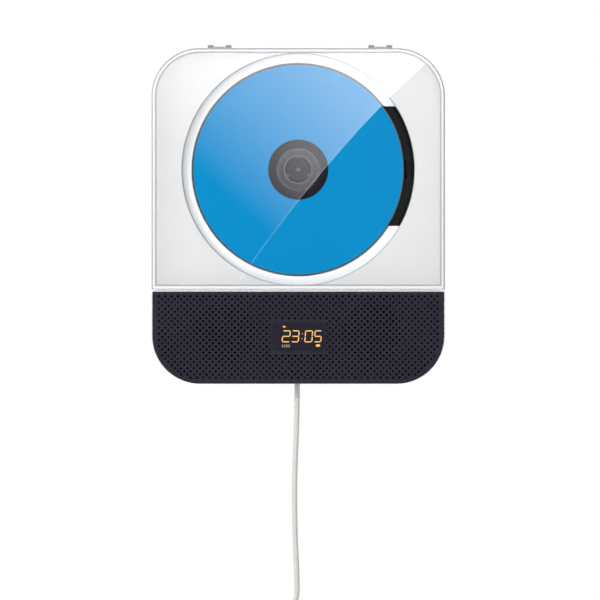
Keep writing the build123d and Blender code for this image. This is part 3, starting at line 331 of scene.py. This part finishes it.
def coil_stops():
    """Where each half turn ends: (signed distance from the coil's middle, layer)."""
    stops = [(COIL_R, 0)]
    for layer in range(LAYERS):
        inward = layer % 2 == 0
        for step in range(1, HALF_TURNS + 1):
            rank = step if inward else HALF_TURNS + 1 - step
            side = -1 if step % 2 else 1
            stops.append((side * (COIL_R - TURN_STEP * (rank // 2)), layer))
        if layer < LAYERS - 1:
            innermost = COIL_R - TURN_STEP * ((HALF_TURNS + 1) // 2) - SWING
            stops.append((innermost if inward else COIL_R + SWING, layer + 1))
    stops.append((COIL_R + TAIL_SWING, LAYERS - 1))
    return stops


def stop_point(stop):
    distance, layer = stop
    return coil_middle + outward * distance + np.array([0.0, layer * LAYER_STEP, 0.0])


stand_out = 1 / math.cos(math.pi / STEPS / 2)
angles = (np.arange(STEPS) + 0.5) * math.pi / STEPS
stops = coil_stops()
turn_points = []
for before, after in zip(stops, stops[1:]):
    start, end = stop_point(before), stop_point(after)
    middle = (start + end) / 2
    reach = np.linalg.norm(end - start) / 2
    heading = along if before[0] > 0 else -along
    spokes = np.outer(np.cos(angles), start - middle) + np.outer(np.sin(angles), heading * reach)
    turn_points.append(middle + spokes * stand_out)
turn_points = np.concatenate(turn_points)

# the last eighth of a turn, to the straight tail
tail_x = LEAD_X - COIL_R - TAIL_SWING
tail_y = stop_point(stops[-1])[1]
tail_turn = []
for share in (0.75, 0.25):
    angle = math.radians(180) - share * math.radians(45)
    spoke = (COIL_R + TAIL_SWING) * stand_out
    tail_turn.append(np.array([LEAD_X + spoke * math.cos(angle), tail_y, COIL_Z + spoke * math.sin(angle)]))

corner_z = COIL_Z + 2 * COIL_R * math.sin(START_ANGLE)
drop_points = [
    (LEAD_X, -LEAD_DEPTH, -87.0),
    (-0.5, -LEAD_DEPTH, -111.0),
    (-2.2, -LEAD_DEPTH, -148.0),
    (-1.9, -LEAD_DEPTH, -181.0),
    (-0.7, -LEAD_DEPTH, -202.0),
    (LEAD_X, -LEAD_DEPTH, corner_z),
]
tail_points = [
    (tail_x, tail_y, -264.0),
    (-19.0, tail_y, -274.0),
    (-17.2, tail_y, -283.0),
    (-17.2, tail_y, -291.0),
]
lead_points = np.concatenate([drop_points, turn_points, tail_turn, tail_points]) * MM
print("points on the lead:", len(lead_points))

# %% [markdown]
# The jacket is smooth soft plastic, so its finish is one pale colour with a dull shine and a very fine grain.

# %% Lead finish
LEAD_WHITE = (0.62, 0.61, 0.57)
jacket = Finish("lead_jacket")
point, (x, y, z) = jacket.place()
grain = jacket.noise(point, 1.6, 3.0)
lead_jacket = jacket.done(
    jacket.surface(
        BaseColor=jacket.mix(LEAD_WHITE, (0.58, 0.57, 0.53), grain.rise(0.35, 0.75)),
        Roughness=grain * 0.15 + 0.38,
        Normal=jacket.bump(grain, 0.05, 0.3),
    )
)
print("finish of the lead:", lead_jacket.name)

# %% [markdown]
# A curve with a round bevel is better here than a mesh: it stays smooth at any distance, and moving one control point
# moves the lead.

# %% The lead as one curve
LEAD_R = 1.5
curve = bpy.data.curves.new("power_lead", "CURVE")
curve.dimensions = "3D"
curve.bevel_depth = LEAD_R * MM
curve.bevel_resolution = 4
curve.resolution_u = 5
curve.use_fill_caps = True
spline = curve.splines.new("NURBS")
spline.points.add(len(lead_points) - 1)
spline.points.foreach_set("co", np.column_stack([lead_points, np.ones(len(lead_points))]).ravel())
spline.order_u = 3
spline.use_endpoint_u = True
curve.materials.append(lead_jacket)
lead = bpy.data.objects.new("power_lead", curve)
bpy.context.scene.collection.objects.link(lead)
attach(lead, "pull_lead")
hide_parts("lead_drop", "lead_coil", "lead_tail")
print("lead curve:", len(spline.points), "control points")

# %% [markdown]
# A ribbed sleeve keeps the lead from kinking where it enters the plug. It is a turned shape: rings of points round the
# lead's axis whose radius shrinks away from the plug and ripples once for each rib.

# %% Plug sleeve
SLEEVE_FOOT = -291.3
SLEEVE_TOP = -283.5
RIBS = 5
sleeve_share = np.linspace(0, 1, 8 * RIBS + 1)
sleeve_radius = 2.9 - 0.9 * sleeve_share + 0.22 * np.cos(2 * math.pi * RIBS * sleeve_share)
sleeve_radius = np.append(sleeve_radius, 1.3)
sleeve_height = np.append(SLEEVE_FOOT + (SLEEVE_TOP - SLEEVE_FOOT) * sleeve_share, SLEEVE_TOP)
round_angles = np.arange(32) * 2 * math.pi / 32
sleeve_rings = np.stack(
    [
        tail_points[-1][0] + np.outer(sleeve_radius, np.cos(round_angles)),
        tail_y + np.outer(sleeve_radius, np.sin(round_angles)),
        np.repeat(sleeve_height[:, None], len(round_angles), axis=1),
    ],
    -1,
)
sleeve_points = sleeve_rings.reshape(-1, 3) * MM
sleeve_faces = grid_faces(len(sleeve_height), len(round_angles), True)
plug_sleeve = add_mesh("plug_sleeve", sleeve_points, sleeve_faces, "pull_lead", lead_jacket, smooth=True)
print("sleeve faces:", len(sleeve_faces))

# %% [markdown]

# %% [markdown]
# ## Finishes
#
# The casing is glossy white moulding. Real mouldings are never quite one colour: the surface has a faint grain and
# soft sink marks that bend reflections a little. On the front deck light and shade are painted into the colour: a
# paler ring round the disc and along the gap above the grille, a thin painted shade line along the well's rim,
# painted shade on the hinge knuckles' tops and painted black shade behind the grille.

# %% White casing
CASING_WHITE = (0.825, 0.82, 0.81)
CASE_HALF_W, CASE_HALF_H, CASE_CORNER = 83.0, 95.0, 27.2
DISC_X, DISC_Z = 0.0, 26.4
WELL_R = 65.9


def white_moulding(name, colour, rough, marks=None):
    """Pale moulding. marks gives (share, colour) pairs that are laid over the plain colour in turn."""
    finish = Finish(name)
    point, (x, y, z) = finish.place()
    grain = finish.noise(point, 0.9, 4.0)
    sink = finish.noise(point, 0.03, 1.0)
    shade = tuple(channel * 0.985 for channel in colour)
    relief = grain * 0.15 + sink
    tone = finish.mix(colour, shade, sink.rise(0.4, 0.8))
    for share, mark in marks(finish, x, y, z) if marks else []:
        tone = finish.mix(tone, mark, share)
    shader = finish.surface(
        BaseColor=tone,
        Roughness=grain * 0.12 + rough,
        Normal=finish.bump(relief, 0.05, 0.25),
        SpecularIORLevel=0.4,
    )
    return finish.done(shader)


def inside_outline(x, z):
    """How far a point lies inside the casing's round-cornered outline."""
    across = abs(x) - (CASE_HALF_W - CASE_CORNER)
    up = abs(z) - (CASE_HALF_H - CASE_CORNER)
    corner = (across.highest(0.0) ** 2 + up.highest(0.0) ** 2) ** 0.5
    return CASE_CORNER - corner - across.highest(up).lowest(0.0)


def deck_marks(finish, x, y, z):
    """Painted light and shade: a paler ring round the disc and along the gap above the grille, a painted shade line
    along the well's rim, painted shade on the hinge knuckles' tops, and painted black shade behind the grille.
    """
    in_front = 1 - y.rise(-20.6, -20.4)
    # painted shade: black on the deck behind the grille, so the holes look into shade
    painted_shade_behind_grille = (1 - z.rise(-43.4, -43.2)) * inside_outline(x, z).rise(1.4, 1.5) * in_front
    # painted shade: grey on the tops of the hinge knuckles
    knuckle_painted_shade = z.rise(95.05, 95.25)
    radius = ((x - DISC_X) ** 2 + (z - DISC_Z) ** 2) ** 0.5
    # painted shade: a thin grey line along the well's rim
    well_rim_painted_shade = radius.line(WELL_R - 0.1, 0.15, 0.3) * in_front
    # painted light: the ring round the disc is paler than the casing, against the shade of the well
    ring_painted_light = (1 - radius.rise(WELL_R - 0.5, WELL_R - 0.3)) * in_front
    # painted light along the gap between the lid and the grille, where the walls shade it
    seam_painted_light = z.line(-42.2, 1.0, 0.2) * in_front
    return [
        (ring_painted_light.highest(seam_painted_light), (0.97, 0.97, 0.97)),
        (well_rim_painted_shade * 0.5, (0.3, 0.3, 0.3)),
        (knuckle_painted_shade, (0.42, 0.42, 0.43)),
        (painted_shade_behind_grille, (0.003, 0.003, 0.004)),
    ]


casing_white = white_moulding("casing_white", CASING_WHITE, 0.28)
dress(casing_white, "rear_cover", "cord_bushing")
dress(white_moulding("deck_white", CASING_WHITE, 0.28, deck_marks), "front_deck")
key_white = white_moulding("key_white", (0.83, 0.83, 0.835), 0.22)
dress(key_white, *[name for name in nodes if name.startswith("button_") and name not in ("button_board", "button_switches")])
plug_white = white_moulding("plug_white", (0.82, 0.82, 0.82), 0.42)
dress(plug_white, "usb_plug_body", "coil_tie")
print("white finishes:", casing_white.name, key_white.name, plug_white.name)

# %% [markdown]
# The lid is clear moulded plastic. A polished flat sheet lets almost everything through and mirrors about a
# twentieth, rising towards grazing angles by the fifth power of what the cosine lacks. Its rim is different: there
# the walls stand on edge, and the light that comes out of them is painted in as a milky band between two thin grey
# lines of painted shade. At the hinges a milky patch is painted over the shade of the pockets below, and the lugs
# above the top edge are grey.

# %% Clear lid
LID_BOTTOM = -41.55
LUG_FOOT = 95.1
HINGE_X, HINGE_SHIFT = 45.5, 1.0
lid = Finish("clear_lid")
point, (x, y, z) = lid.place()
facing = lid.node("LayerWeight", values={"Blend": 0.5}, out="Facing")
mirrored = facing**5 * 0.9 + 0.05
rim = inside_outline(x, z).lowest(z - LID_BOTTOM)
# painted light: a milky patch over the shade of the hinge pockets below
painted_light_over_pockets = abs(abs(x - HINGE_SHIFT) - HINGE_X).line(0.0, 7.0, 0.2) * z.rise(91.4, 91.6)
# painted light: a milky band where the rim's walls stand on edge
milky_painted_light = ((1 - rim.rise(1.9, 2.1)) * 0.7).highest(painted_light_over_pockets * 0.85)
# painted shade: two thin grey lines along the rim
lid_line_painted_shade = (rim.line(2.35, 0.35, 0.25) * 0.85).highest(inside_outline(x, z).line(0.35, 0.35, 0.25) * 0.8)
lugs = z.rise(LUG_FOOT, LUG_FOOT + 0.15)
clear = lid.node("BsdfTransparent", values={"Color": rgba((0.985, 0.985, 0.985))})
mirror = lid.node("BsdfGlossy", values={"Color": rgba((1, 1, 1)), "Roughness": 0.0})
pane = lid.node("MixShader", values={0: mirrored, 1: clear, 2: mirror})
grey_share = lid_line_painted_shade / milky_painted_light.highest(lid_line_painted_shade).highest(0.01)
rim_tone = lid.mix((0.9, 0.9, 0.9), (0.42, 0.42, 0.43), grey_share.highest(lugs))
painted_rim_surface = lid.surface(BaseColor=lid.mix(rim_tone, (0.33, 0.33, 0.34), lugs), Roughness=0.25)
band = milky_painted_light.highest(lid_line_painted_shade).highest(lugs * 0.9)
clear_lid = lid.done(lid.node("MixShader", values={0: band, 1: pane, 2: painted_rim_surface}))
dress(clear_lid, "dust_cover")
nodes["dust_cover"].visible_shadow = False  # its thin walls keep hardly any light from what lies below
print("lid finish:", clear_lid.name)

# %% [markdown]
# The grille is sheet metal with over a thousand punched holes, painted a warm near-black with a fine satin grain. Its
# window and frame are plastic of the same colour.

# %% Dark front
GRILLE_DARK = (0.0205, 0.018, 0.0295)


def dark_paint(name, colour, rough, grain_depth, marks=None):
    finish = Finish(name)
    point, (x, y, z) = finish.place()
    grain = finish.noise(point, 5.0, 3.0)
    cloud = finish.noise(point, 0.05, 2.0)
    light = tuple(min(1.0, channel * 1.15) for channel in colour)
    tone = finish.mix(colour, light, cloud.rise(0.3, 0.75))
    for share, mark in marks(finish, x, y, z) if marks else []:
        tone = finish.mix(tone, mark, share)
    shader = finish.surface(
        BaseColor=tone,
        Roughness=grain * 0.15 + rough,
        Normal=finish.bump(grain, grain_depth, 0.5),
        SpecularIORLevel=0.06,
    )
    return finish.done(shader)


dress(dark_paint("grille_paint", GRILLE_DARK, 0.6, 0.01), "speaker_grille")
dress(dark_paint("smoked_plastic", (0.0125, 0.0115, 0.019), 0.5, 0.005), "display_window", "grille_frame")


def plate_marks(finish, x, y, z):
    """The black plate round the disc: faint brown streaks of painted reflection, and painted shadow in deeper black
    along its outer edge.
    """
    radius = ((x - DISC_X) ** 2 + (z - DISC_Z) ** 2) ** 0.5
    # painted reflection: faint brown streaks on the black plate
    painted_reflection_streaks = finish.noise(finish.place()[0], 0.12, 4.0, (3.0, 1.0, 0.5))
    # painted shadow: deeper black along the plate's outer edge
    return [(painted_reflection_streaks.rise(0.5, 0.7) * 0.6, (0.035, 0.027, 0.022)), (radius.rise(63.9, 64.4), (0.003, 0.003, 0.003))]


dress(dark_paint("black_plate", (0.019, 0.019, 0.02), 0.38, 0.03, plate_marks), "mechanism_cover")
dress(
    dark_paint("black_moulding", (0.017, 0.017, 0.018), 0.38, 0.03),
    "pickup_sled",
    "lens_holder",
    "audio_jack",
    "pull_switch",
    "display_module",
    "button_switches",
    "board_parts",
)
dress(
    dark_paint("hub_moulding", (0.014, 0.015, 0.022), 0.45, 0.01),
    "turntable",
    "turntable_pad",
    "rubber_pads",
    "rubber_mounts",
)
dress(
    dark_paint("speaker_black", (0.006, 0.006, 0.007), 0.8, 0.08),
    "left_speaker_cone",
    "right_speaker_cone",
    "left_speaker_frame",
    "right_speaker_frame",
    "left_speaker_surround",
    "right_speaker_surround",
    "left_speaker_magnet",
    "right_speaker_magnet",
)

# %% [markdown]
# Inside are plated sheet, ground steel pins, nylon gears and green circuit boards. Each metal gets streaks or a
# crystal pattern at its real scale.

# %% Metals, gears and boards


def metal(name, colour, rough, streak):
    finish = Finish(name)
    point, (x, y, z) = finish.place()
    streaks = finish.noise(point, 1.5, 4.0, streak)
    dark = tuple(channel * 0.82 for channel in colour)
    shader = finish.surface(
        BaseColor=finish.mix(dark, colour, streaks.rise(0.3, 0.7)),
        Roughness=streaks * 0.2 + rough,
        Metallic=1.0,
        Normal=finish.bump(streaks, 0.02, 0.4),
    )
    return finish.done(shader)


dress(
    metal("ground_steel", (0.62, 0.62, 0.63), 0.22, (1.0, 6.0, 1.0)),
    "rear_screws",
    "hinge_pins",
    "grille_screws",
    "mechanism_screws",
    "guide_rods",
    "gear_axle",
    "pull_spring",
)
dress(
    metal("zinc_sheet", (0.66, 0.67, 0.69), 0.36, (0.4, 0.4, 0.4)),
    "wall_bracket",
    "mechanism_chassis",
    "spindle_motor",
    "feed_motor",
)
dress(metal("blued_steel", (0.12, 0.12, 0.13), 0.45, (0.6, 0.6, 0.6)), "spindle_shaft", "clamp_balls")
dress(metal("plug_nickel", (0.72, 0.72, 0.74), 0.16, (0.3, 0.3, 3.0)), "usb_plug_shell")
dress(white_moulding("gear_nylon", (0.78, 0.76, 0.70), 0.35), "motor_pinion", "feed_gear", "sled_rack", "pull_slider")

board = Finish("board_mask")
point, (x, y, z) = board.place()
cells = board.node("TexVoronoi", {"feature": "DISTANCE_TO_EDGE"}, {"Vector": point, "Scale": 0.45})
tracks = 1 - cells.rise(0.02, 0.05)
board_mask = board.done(
    board.surface(
        BaseColor=board.mix((0.01, 0.14, 0.05), (0.03, 0.26, 0.09), tracks),
        Roughness=0.3,
        Normal=board.bump(tracks, 0.03, 0.5),
    )
)
dress(board_mask, "main_board", "button_board")

wrap = Finish("battery_film")
point, (x, y, z) = wrap.place()
creases = wrap.noise(point, 0.25, 5.0, (1.0, 1.0, 0.3))
battery_film = wrap.done(
    wrap.surface(
        BaseColor=wrap.mix((0.02, 0.10, 0.35), (0.03, 0.14, 0.45), creases.rise(0.3, 0.7)),
        Roughness=0.3,
        Normal=wrap.bump(creases, 0.2, 0.4),
    )
)
dress(battery_film, "battery_pack")

glass = Finish("lens_glass")
point, (x, y, z) = glass.place()
bloom = glass.noise(point, 0.4, 1.0)
lens_glass = glass.done(
    glass.surface(BaseColor=glass.mix((0.1, 0.12, 0.3), (0.18, 0.1, 0.3), bloom), Roughness=0.05, CoatWeight=0.6)
)
dress(lens_glass, "objective_lens")
print("materials so far:", len(bpy.data.materials))

# %% [markdown]
# The disc is clear plastic with a printed face. The print covers it from the hub outwards. Inside the print the
# plastic is clear, so the dark turntable shows through; painted highlights stand for the light on the moulded
# stacking ring and on the edge of the hole. The very edge is clear too, and is painted as a fine dark line: painted
# shade for the clear rim over the shadow beneath. Its back is the mirror that the laser reads.

# %% Printed disc
DISC_BLUE = (0.0005, 0.295, 0.64)
PRINT_R = 17.0
DISC_R = 60.0
disc = Finish("printed_disc")
point, (x, y, z) = disc.place()
radius = ((x - DISC_X) ** 2 + (z - DISC_Z) ** 2) ** 0.5
printed = radius.rise(PRINT_R - 0.25, PRINT_R + 0.25)
# painted shade: the clear edge drawn as a fine dark line over the shadow beneath
disc_edge_painted_shade = radius.rise(DISC_R - 0.75, DISC_R - 0.5)
ink = disc.noise(point, 3.0, 3.0)
print_colour = disc.mix(DISC_BLUE, (0.0008, 0.25, 0.58), ink.rise(0.4, 0.8))
face_colour = disc.mix(print_colour, (0.11, 0.1, 0.085), disc_edge_painted_shade)
# painted highlight on the stacking ring
stacking_ring_highlight = radius.line(12.2, 0.4, 1.6) * 0.35
# painted highlight on the edge of the hole
hole_edge_highlight = radius.line(7.8, 0.15, 0.35)
hub_colour = disc.mix((0.03, 0.031, 0.038), (0.2, 0.2, 0.22), (stacking_ring_highlight + hole_edge_highlight).lowest(1.0))
back_face = y.rise(-28.35, -28.15)
front_colour = disc.mix(hub_colour, face_colour, printed)
rainbow = disc.node("TexNoise", values={"Vector": point, "Scale": 0.05, "Detail": 1.0}, out="Color")
mirror_colour = disc.mix((0.75, 0.77, 0.8), rainbow, 0.15)
disc_shader = disc.surface(
    BaseColor=disc.mix(front_colour, mirror_colour, back_face),
    Roughness=0.45 - back_face * 0.35,
    Metallic=back_face,
    SpecularIORLevel=0.03,
    Alpha=(0.08 + stacking_ring_highlight * 0.25 + hole_edge_highlight * 0.6 + printed).lowest(1.0),
)
dress(disc.done(disc_shader), "compact_disc")
print("print starts", PRINT_R, "mm from the disc's middle")

# %% [markdown]
# ## The display
#
# Behind the window shine the digits of a clock. Each is made of seven bars, long hexagons that nearly touch, and the
# whole row leans a little. A play mark stands above them, small marks below, and a battery symbol at the right.

# %% Glowing marks
glow = Finish("amber_glow")
point, (x, y, z) = glow.place()
flicker = glow.noise(point, 1.2, 2.0)
amber_glow = glow.done(
    glow.surface(
        BaseColor=(0.2, 0.1, 0.02),
        Roughness=0.5,
        EmissionColor=glow.mix((1.0, 0.42, 0.07), (1.0, 0.62, 0.22), flicker.rise(0.3, 0.7)),
        EmissionStrength=0.85,
    )
)

WINDOW_DEPTH = 42.0
MARK_T = 0.05
SLANT = math.tan(math.radians(5))
DIGIT_TOP, DIGIT_BOTTOM = -64.65, -71.45
STROKE = 0.6
SEGMENTS = {"0": "abcdef", "2": "abged", "3": "abgcd", "5": "afgcd"}


def on_window(outline, depth):
    return np.column_stack([outline[:, 0], np.full(len(outline), -depth), outline[:, 1]]) * MM


def lean(outline):
    """Slides each point right in proportion to its height above the digits' middle."""
    outline = np.array(outline, float)
    middle = (DIGIT_TOP + DIGIT_BOTTOM) / 2
    outline[:, 0] += (outline[:, 1] - middle) * SLANT
    return outline


def bar(start, end, width, gap):
    """A hexagon along a line: square in its middle and pointed at both ends."""
    start, end = np.array(start, float), np.array(end, float)
    way = (end - start) / np.linalg.norm(end - start)
    side = np.array([-way[1], way[0]]) * width / 2
    tip = way * width / 2
    start, end = start + way * gap, end - way * gap
    return [start, start + tip + side, end - tip + side, end, end - tip - side, start + tip - side]


def digit_bars(left, right, lit):
    low_x, high_x = left + STROKE / 2, right - STROKE / 2
    low, high = DIGIT_BOTTOM + STROKE / 2, DIGIT_TOP - STROKE / 2
    half = (low + high) / 2
    ends = {
        "a": ((low_x, high), (high_x, high)),
        "b": ((high_x, high), (high_x, half)),
        "c": ((high_x, half), (high_x, low)),
        "d": ((low_x, low), (high_x, low)),
        "e": ((low_x, low), (low_x, half)),
        "f": ((low_x, half), (low_x, high)),
        "g": ((low_x, half), (high_x, half)),
    }
    return [lean(bar(*ends[segment], STROKE, 0.08)) for segment in lit]


outlines = []
for figure, left, right in (("2", -9.15, -4.45), ("3", -3.85, 0.6), ("0", 3.65, 8.2), ("5", 9.0, 13.3)):
    outlines += digit_bars(left, right, SEGMENTS[figure])
outlines.append(np.array([(-8.5, -61.9), (-8.5, -63.3), (-6.8, -62.6)]))
slabs = [slab(outline, WINDOW_DEPTH, WINDOW_DEPTH + MARK_T, on_window) for outline in outlines]
digits = add_mesh("display_digits", *join(slabs), "casing", amber_glow)

battery = [
    np.array([(10.2, -72.6), (12.3, -72.6), (12.3, -73.9), (10.2, -73.9)]),
    np.array([(9.9, -73.0), (10.2, -73.0), (10.2, -73.5), (9.9, -73.5)]),
]
slabs = [slab(outline, WINDOW_DEPTH, WINDOW_DEPTH + MARK_T, on_window) for outline in battery]
battery_mark = add_mesh("display_battery", *join(slabs), "casing", amber_glow)

dim = Finish("dim_glow")
point, (x, y, z) = dim.place()
flicker = dim.noise(point, 1.2, 2.0)
dim_glow = dim.done(
    dim.surface(
        BaseColor=(0.08, 0.07, 0.06),
        Roughness=0.5,
        EmissionColor=dim.mix((0.35, 0.28, 0.18), (0.45, 0.36, 0.24), flicker.rise(0.3, 0.7)),
        EmissionStrength=0.3,
    )
)
small_marks = []
for index in range(4):
    left = -9.2 + index * 1.2
    small_marks.append(np.array([(left, -72.7), (left + 0.8, -72.7), (left + 0.8, -74.3), (left, -74.3)]))
for level in (-66.6, -69.4):
    small_marks.append(lean([(1.8, level + 0.4), (2.6, level + 0.4), (2.6, level - 0.4), (1.8, level - 0.4)]))
slabs = [slab(outline, WINDOW_DEPTH, WINDOW_DEPTH + MARK_T, on_window) for outline in small_marks]
dim_marks = add_mesh("display_small_marks", *join(slabs), "casing", dim_glow)
print("glowing outlines:", len(outlines) + len(battery) + len(small_marks))

# %% [markdown]
# ## Key symbols
#
# Each key in the top edge carries a plain printed symbol, read from above: back, play, forward, minus and plus. They
# are flat outlines drawn about the key's own middle, a few hundredths of a millimetre thick like real ink.

# %% Printed key symbols
INK_T = 0.03
ink = Finish("key_ink")
point, (x, y, z) = ink.place()
speckle = ink.noise(point, 4.0, 2.0)
key_ink = ink.done(ink.surface(BaseColor=ink.mix((0.1, 0.1, 0.11), (0.14, 0.14, 0.15), speckle), Roughness=0.6))


def symbol_box(left, low, right, high):
    return [(left, low), (right, low), (right, high), (left, high)]


arrow = np.array([(-1.1, -1.2), (1.1, 0.0), (-1.1, 1.2)])
plus = [(-1.3, -0.25), (-0.25, -0.25), (-0.25, -1.3), (0.25, -1.3), (0.25, -0.25), (1.3, -0.25)]
plus += [(-across, -up) for across, up in plus]
symbols = {
    "previous": [arrow[::-1] * [-1, 1] + [0.3, 0], symbol_box(-1.4, -1.2, -0.95, 1.2)],
    "play": [arrow],
    "next": [arrow - [0.3, 0], symbol_box(0.95, -1.2, 1.4, 1.2)],
    "quieter": [symbol_box(-1.3, -0.25, 1.3, 0.25)],
    "louder": [plus],
}


def mesh_points(name):
    mesh = nodes[name].data
    flat = np.empty(len(mesh.vertices) * 3)
    mesh.vertices.foreach_get("co", flat)
    return flat.reshape(-1, 3) / MM


for key, shapes in symbols.items():
    corners = mesh_points("button_" + key)
    low, high = corners.min(axis=0), corners.max(axis=0)
    middle = (low + high) / 2

    def on_key(outline, level):
        points = np.column_stack([middle[0] + outline[:, 0], middle[1] + outline[:, 1], np.full(len(outline), level)])
        return points * MM

    slabs = [slab(shape, high[2], high[2] + INK_T, on_key) for shape in shapes]
    symbol = add_mesh("symbol_" + key, *join(slabs), "key_" + key, key_ink)
    print(key, "symbol at", [round(value, 1) for value in middle[:2]], "top", round(high[2], 2))

# %% [markdown]
# ## The studio's stage
#
# The floor lies under the lead's plug. The lid also mirrors a pale card that stands in front of the casing: its edge
# draws the long soft diagonal across the lid. The card is out of the camera's sight and lights nothing; only
# reflections see it, and it is black below its edge, like the dark side of the room.

# %% Floor and mirrored card
floor_finish = Finish("floor_paper")
point, (x, y, z) = floor_finish.place()
fibre = floor_finish.noise(point, 0.5, 3.0)
paper = floor_finish.surface(
    BaseColor=floor_finish.mix((0.86, 0.86, 0.86), (0.84, 0.84, 0.84), fibre), Roughness=0.8, SpecularIORLevel=0.1
)
page = floor_finish.node("Emission", values={"Color": rgba((1, 1, 1)), "Strength": 1.0})
seen_directly = floor_finish.node("LightPath", out="Is Camera Ray")
floor_paper = floor_finish.done(floor_finish.node("MixShader", values={0: seen_directly * 0.75, 1: paper, 2: page}))
FLOOR_Z = -0.36
FLOOR_HALF = 3.0
ends = np.array([-FLOOR_HALF, FLOOR_HALF])
floor_points = [(-FLOOR_HALF, -FLOOR_HALF, FLOOR_Z), (FLOOR_HALF, -FLOOR_HALF, FLOOR_Z)]
floor_points += [(FLOOR_HALF, FLOOR_HALF, FLOOR_Z), (-FLOOR_HALF, FLOOR_HALF, FLOOR_Z)]
floor = add_mesh("floor", floor_points, [[0, 1, 2, 3]], None, floor_paper)

CARD_GAP = 1.0
card = Finish("mirrored_card")
point, (x, y, z) = card.place()
grow = 1 + CARD_GAP / CAMERA_DISTANCE
plate_x = (x + CAMERA_X / MM * (grow - 1)) / grow
plate_z = (z + CAMERA_Z / MM * (grow - 1)) / grow
edge_height = plate_z - (8.3 + plate_x * 1.27 - plate_x * plate_x * 0.0026)
veil = (plate_x * 0.0024 + plate_z * 0.0026 + 0.066).highest(0.0)
shown = edge_height.rise(-0.4, 0.4)
MIRRORED_SHARE = 0.115  # by the lid's two faces together
bright_edge = edge_height.line(0.5, 0.15, 0.5) * 0.12
strength = (veil * shown + bright_edge) / MIRRORED_SHARE
card_material = card.done(card.node("Emission", values={"Color": rgba((1, 1, 1)), "Strength": strength}))
CARD_HALF = 0.6
card_y = -FRONT_DEPTH - CARD_GAP
card_points = [(-CARD_HALF, card_y, -CARD_HALF), (CARD_HALF, card_y, -CARD_HALF)]
card_points += [(CARD_HALF, card_y, CARD_HALF), (-CARD_HALF, card_y, CARD_HALF)]
mirrored_card = add_mesh("mirrored_card", card_points, [[0, 1, 2, 3]], None, card_material)
mirrored_card.visible_camera = False
mirrored_card.visible_diffuse = False
mirrored_card.visible_transmission = False
mirrored_card.visible_shadow = False
print("stage:", floor.name, mirrored_card.name)
